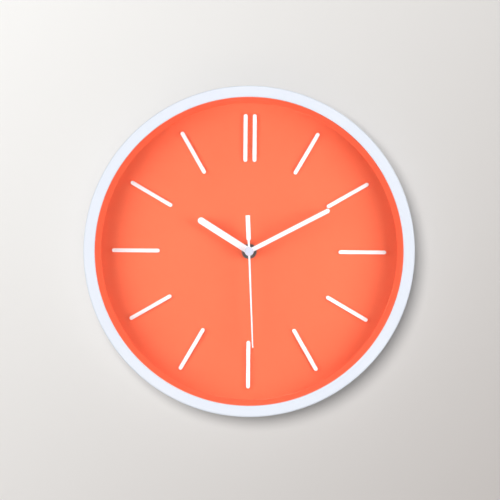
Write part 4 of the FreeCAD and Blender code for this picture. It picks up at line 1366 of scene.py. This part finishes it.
@dataclass
class Movement:
    """Black plastic case of the quartz movement with its set knob and its cell."""

    side: float = 56.0
    corner: float = 3.0
    wall: float = 1.2
    edge_round: float = 0.3
    bush_hole: float = 4.0
    bay_top: float = -11.4
    bay_wall: float = 0.8
    opening_half: float = 25.4
    opening_corner: float = 1.0
    cell_radius: float = 7.1
    cell_gap: float = 0.3
    cell_depth: float = 8.85
    cell_height: float = -19.1
    film: float = 0.15
    film_end: float = 0.6
    end_dish_outer: float = 5.0
    end_dish_inner: float = 4.6
    end_dish_depth: float = 0.2
    cap_seat_outer: float = 5.2
    cap_seat_inner: float = 4.9
    cap_seat_depth: float = 0.3
    cap_flange: float = 3.6
    cap_step: float = 0.1
    cap_radius: float = 2.75
    knob_radius: float = 6.5
    knob_rim: float = 2.1
    flute_count: int = 24
    flute_share: float = 0.92
    knob_border: float = 0.9
    knob_ring: float = 1.4
    knob_drops: tuple[float, ...] = (0.21, 0.072)
    cup_radius: float = 7.0
    cup_floor: float = 4.4
    stem_radius: float = 1.5
    stem_gap: float = 0.05

    def build(self) -> None:
        """Make the case's halves, the knob and the cell."""
        low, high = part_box("set_knob")
        knob_x, knob_z = (low.x + high.x) / 2 / MM, (low.z + high.z) / 2 / MM
        self.rear_case(knob_x, knob_z)
        self.front_case()
        self.knob(knob_x, knob_z)
        self.cell()

    def shell(self, name: str, back: float, front: float, hollow: tuple[float, float]) -> Mesh:
        """Make one half of the case as a box with one side open.

        Args:
            name: Name of the new object.
            back: Depth of its back.
            front: Depth of its front.
            hollow: Depths between which it is hollow.

        Returns:
            The half.
        """
        half, inner = self.side / 2, self.side / 2 - self.wall
        shell = block(name, -half, half, -half, half, back, front, corner=self.corner)
        hole = block("hollow", -inner, inner, -inner, inner, *hollow,
                     corner=self.corner - self.wall)
        return combine(shell, "DIFFERENCE", hole)

    def rear_case(self, knob_x: float, knob_z: float) -> None:
        """Make the rear half with the cell's bay and the knob's cup.

        Args:
            knob_x: Place of the knob's axis.
            knob_z: Height of the knob's axis.
        """
        back, split = depths_of("rear_case")[0], depths_of("front_case")[0]
        inside = back + self.wall
        case = self.shell("rear_shell", back, split, (inside, split + THROUGH))
        inner = self.side / 2 - self.wall + OVERLAP
        bay = block("bay_wall", -inner, inner, self.bay_top, self.bay_top + self.bay_wall,
                    inside - OVERLAP, split)
        cup_front = self.cup_floor + self.wall
        cup = rod("cup", self.cup_radius + self.wall, inside - OVERLAP, cup_front, knob_x, knob_z,
                  sides=64)
        combine(case, "UNION", bay, cup)
        reach = self.cell_radius + self.cell_gap
        combine(case, "DIFFERENCE",
                block("bay_mouth", -self.opening_half, self.opening_half,
                      self.cell_height - reach, self.cell_height + reach, back - THROUGH,
                      inside + JUST_PAST, corner=self.opening_corner),
                rod("cup_hollow", self.cup_radius, back - THROUGH, self.cup_floor, knob_x, knob_z,
                    sides=64),
                rod("stem_hole", self.stem_radius + self.stem_gap, back, cup_front + THROUGH,
                    knob_x, knob_z, sides=32))
        round_edges(case, self.edge_round)
        hand_in(case, "clock_body", "case_black", CASE_BLACK, "rear_case")

    def front_case(self) -> None:
        """Make the front half with the bush's hole."""
        split, front = depths_of("front_case")
        case = self.shell("front_shell", split, front, (split - THROUGH, front - self.wall))
        combine(case, "DIFFERENCE",
                rod("bush_hole", self.bush_hole, split, front + THROUGH, sides=48))
        round_edges(case, self.edge_round)
        hand_in(case, "clock_body", "case_black", CASE_BLACK, "front_case")

    def knob(self, knob_x: float, knob_z: float) -> None:
        """Make the fluted knob; its stem and pinion are hidden in the case.

        Args:
            knob_x: Place of the knob's axis.
            knob_z: Height of the knob's axis.
        """
        back, front = depths_of("set_knob")
        rim_front = back + self.knob_rim
        sides = self.flute_count * 4
        knob = rod("knob_disc", self.knob_radius, back, rim_front, sides=sides)
        pitch = math.tau / self.flute_count
        with editing(knob):
            # A quarter of each pitch, centred on its start, is drawn in as the flute's floor.
            choose(knob, Element.VERTS,
                   lambda v: (math.atan2(v.co.x, v.co.z) + pitch / 8) % pitch < pitch / 4)
            bpy.ops.transform.resize(value=(self.flute_share, 1.0, self.flute_share),
                                     center_override=(0, 0, 0))
            choose(knob, Element.FACES, lambda f: f.normal.y > ALONG)
            bpy.ops.mesh.inset(thickness=self.knob_border * MM)
            for drop in self.knob_drops:
                bpy.ops.mesh.inset(thickness=self.knob_ring * MM, depth=-drop * MM)
        stem = rod("knob_stem", self.stem_radius, rim_front - OVERLAP / 2, front, sides=32)
        combine(knob, "UNION", stem)
        round_edges(knob, 0.12)
        knob.data.transform(shift(knob_x, knob_z))
        hand_in(knob, "knob", "knob_black", KNOB_BLACK, "set_knob")

    def cell(self) -> None:
        """Turn the cell's can, its cap and its film."""
        lathe = Lathe((0.0, -self.cell_depth, self.cell_height), (1, 0, 0), (0, -1, 0))
        left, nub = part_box("battery_can")[0].x / MM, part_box("battery_cap")[1].x / MM
        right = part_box("battery_can")[1].x / MM
        under_film = self.cell_radius - self.film
        can = turn("cell_can", [
            (0.0, left + self.end_dish_depth, 0),
            (self.end_dish_inner, left + self.end_dish_depth, 0.2),
            (self.end_dish_outer, left, 0.3),
            (under_film, left, 0.6),
            (under_film, right, 0.6),
            (self.cap_seat_outer, right, 0.2),
            (self.cap_seat_inner, right - self.cap_seat_depth, 0.2),
            (0.0, right - self.cap_seat_depth, 0),
        ], steps=72, lathe=lathe, closed=False)
        hand_in(can, "cell", "cell_steel", NICKEL, "battery_can")
        foot = right - self.cap_seat_depth - self.cap_step
        cap = turn("cell_cap", [
            (0.0, foot, 0),
            (self.cap_flange, foot, 0),
            (self.cap_flange, right - self.cap_step, 0.1),
            (self.cap_radius, right, 0.2),
            (self.cap_radius, nub, 0.3),
            (0.0, nub, 0),
        ], steps=48, lathe=lathe, closed=False)
        hand_in(cap, "cell", "cell_steel", NICKEL, "battery_cap")
        sleeve = turn("cell_film", [
            (under_film, left + self.film_end, 0),
            (self.cell_radius, left + self.film_end + 0.1, 0.1),
            (self.cell_radius, right - self.film_end - 0.1, 0.1),
            (under_film, right - self.film_end, 0),
        ], steps=96, lathe=lathe)
        hand_in(sleeve, "cell", "cell_sleeve", SLEEVE, "battery_sleeve")


@dataclass
class CarriedOver:
    """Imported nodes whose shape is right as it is: they only get their finish.

    A hidden node, which a new piece stands for, gets the default one.
    """

    def build(self) -> None:
        """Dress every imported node, and report those that show."""
        finishes = {
            "lens": PANE, "brass_washer": BRASS, "threaded_bush": BRASS,
            "rubber_washer": RUBBER, "middle_plate": CASE_BLACK, "stator": IRON,
            "coil_core": IRON, "coil_bobbin": NYLON, "coil_winding": COPPER,
            "circuit_board": BOARD, "chip": RESIN, "quartz_crystal": NICKEL,
            "contact_positive": NICKEL, "contact_negative": NICKEL, "rotor_magnet": FERRITE,
            "clutch_spring": NICKEL, "second_hand_tube": BRASS, "seconds_wheel": NICKEL,
            "minute_arbor": BRASS,
        }
        for name, node in frame["nodes"].items():
            finish = finishes.get(name, TRAIN_WHITE)
            dress(node, finish)
            if not node.hide_render:
                LOG.info("%s: packed node, %s", name, finish.name)


# ---------------------------------------------------------------- the studio

@dataclass
class SoftBox:
    """One soft light, aimed at the clock.

    One that isn't glossy would mirror in the lens. It is sampled on its own, because the share
    of its light that glossy rays should find would be lost behind the lens.
    """

    name: str
    place: tuple[float, float, float]
    size: float
    watts: float
    receiver: Receiver = Receiver.CLOCK
    glossy: bool = True

    def build(self) -> None:
        """Hang the light, and let it shine on its own receivers only."""
        data = bpy.data.lights.new(self.name, "AREA")
        data.shape = "DISK"
        data.size = self.size
        data.energy = self.watts
        data.cycles.use_multiple_importance_sampling = self.glossy
        lamp = bpy.data.objects.new(self.name, data)
        bpy.context.scene.collection.objects.link(lamp)
        lamp.location = self.place
        lamp.rotation_euler = (-Vector(self.place)).to_track_quat("-Z", "Y").to_euler()
        lamp.visible_glossy = lamp.visible_transmission = self.glossy
        lamp.visible_camera = False
        lamp.light_linking.receiver_collection = bpy.data.collections[self.receiver.value]


@dataclass
class Studio:
    """Pale wall, pale floor, soft lights and the camera."""

    wall_half: float = 3.0
    wall_gap: float = 0.0006
    floor_height: float = -1.1
    camera_place: tuple[float, float, float] = (0.00081, -1.542, 0.00122)
    camera_roll: float = -0.48
    lens: float = 119.5
    ambient: float = 0.05
    backdrop: str = "#e2dfdc"

    def build(self) -> None:
        """Set the stage, the lights and the camera."""
        self.surroundings()
        self.world()
        self.camera()
        self.receivers()
        for lamp in (
            SoftBox("room_key", (-0.51, -3.0, 0.51), 1.28, 71.0, Receiver.ROOM, glossy=False),
            SoftBox("room_front", (0.0, -3.2, 0.0), 2.0, 13.0, Receiver.ROOM, glossy=False),
            SoftBox("rim_front", (0.0, -2.6, 0.0), 2.6, 61.0, Receiver.RIM, glossy=False),
            SoftBox("rim_left", (-2.0, -0.6, 0.0), 1.2, 11.0, Receiver.RIM),
            SoftBox("rim_right", (2.0, -0.6, 0.0), 1.2, 13.0, Receiver.RIM),
            SoftBox("rim_top", (0.0, -0.6, 2.0), 1.2, 11.0, Receiver.RIM),
            SoftBox("rim_low", (0.0, -0.6, -2.0), 1.2, 13.0, Receiver.RIM),
            SoftBox("face_front", (0.0, -2.6, 0.0), 2.6, 15.2, Receiver.FACE, glossy=False),
            SoftBox("face_left", (-0.45, -0.28, 0.0), 0.35, 3.35, Receiver.FACE, glossy=False),
            SoftBox("face_right", (0.45, -0.28, 0.0), 0.35, 3.3, Receiver.FACE, glossy=False),
            SoftBox("face_top", (0.0, -1.2, 2.0), 2.0, 11.0, Receiver.FACE),
            SoftBox("face_low", (0.0, -1.2, -2.0), 2.0, 7.5, Receiver.FACE),
            SoftBox("rear_key", (-1.1, 2.1, 0.9), 0.9, 38.0, Receiver.FACE),
            SoftBox("rear_fill", (1.2, 2.1, -0.2), 0.9, 14.0, Receiver.FACE),
            SoftBox("rear_rim", (0.0, 2.6, 0.0), 0.8, 32.0, Receiver.RIM, glossy=False),
        ):
            lamp.build()

    def receivers(self) -> None:
        """List what each group of lights shines on."""
        groups = {receiver: bpy.data.collections.new(receiver.value) for receiver in Receiver}
        for piece in bpy.context.scene.objects:
            if piece.type != "MESH":
                continue
            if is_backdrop(piece):
                groups[Receiver.ROOM].objects.link(piece)
                continue
            groups[Receiver.CLOCK].objects.link(piece)
            part = Receiver.RIM if piece.name == "rim_frame" else Receiver.FACE
            groups[part].objects.link(piece)

    def surroundings(self) -> None:
        """Stand the wall behind the clock and lay the floor."""
        wall = add_primitive("studio_wall", bpy.ops.mesh.primitive_plane_add,
                             size=2 * self.wall_half, location=(0, self.wall_gap, 0),
                             rotation=(math.radians(90), 0, 0))
        # Lamps reach the clock's back, and the wall throws no light back at the rim.
        wall.visible_shadow = wall.visible_diffuse = False
        dress(wall, WALL_PAINT)
        floor = add_primitive("studio_floor", bpy.ops.mesh.primitive_plane_add,
                              size=2 * self.wall_half, location=(0, 0, self.floor_height))
        dress(floor, FLOOR_PAINT)
        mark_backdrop(wall, floor)

    def world(self) -> None:
        """Light the room evenly and faintly, with a pale surround for the other views."""
        world = bpy.data.worlds.new("studio_world")
        bpy.context.scene.world = world
        world.use_nodes = True
        tree = world.node_tree
        dim = find_node(tree, "BACKGROUND")
        set_inputs(tree, dim, {"Color": linear("#ffffff"), "Strength": self.ambient})
        pale = add_node(tree, "ShaderNodeBackground", {"Color": linear(self.backdrop)})
        ray = add_node(tree, "ShaderNodeLightPath")
        mixed = add_node(tree, "ShaderNodeMixShader",
                         {0: ray.outputs["Is Camera Ray"], 1: dim.outputs[0],
                          2: pale.outputs[0]})
        set_inputs(tree, find_node(tree, "OUTPUT_WORLD"), {"Surface": mixed.outputs[0]})
        bpy.context.scene.view_settings.view_transform = "Standard"

    def camera(self) -> None:
        """Stand the camera square in front of the clock."""
        data = bpy.data.cameras.new("studio_camera")
        data.lens = self.lens
        camera = bpy.data.objects.new("studio_camera", data)
        bpy.context.scene.collection.objects.link(camera)
        camera.location = self.camera_place
        camera.rotation_euler = (math.radians(90), math.radians(self.camera_roll), 0)
        bpy.context.scene.camera = camera


def main() -> None:
    """Build the clock and the studio in order."""
    logging.basicConfig(level=logging.INFO, format="%(name)s: %(message)s")
    for part in (Rim(), Dial(), Markers(), ClampNut(), Hands(), Screws(), Hanger(), Movement(),
                 CarriedOver(), Studio()):
        LOG.info("building %s", type(part).__name__)
        part.build()
    clear_selection()


if __name__ == "__main__":
    main()
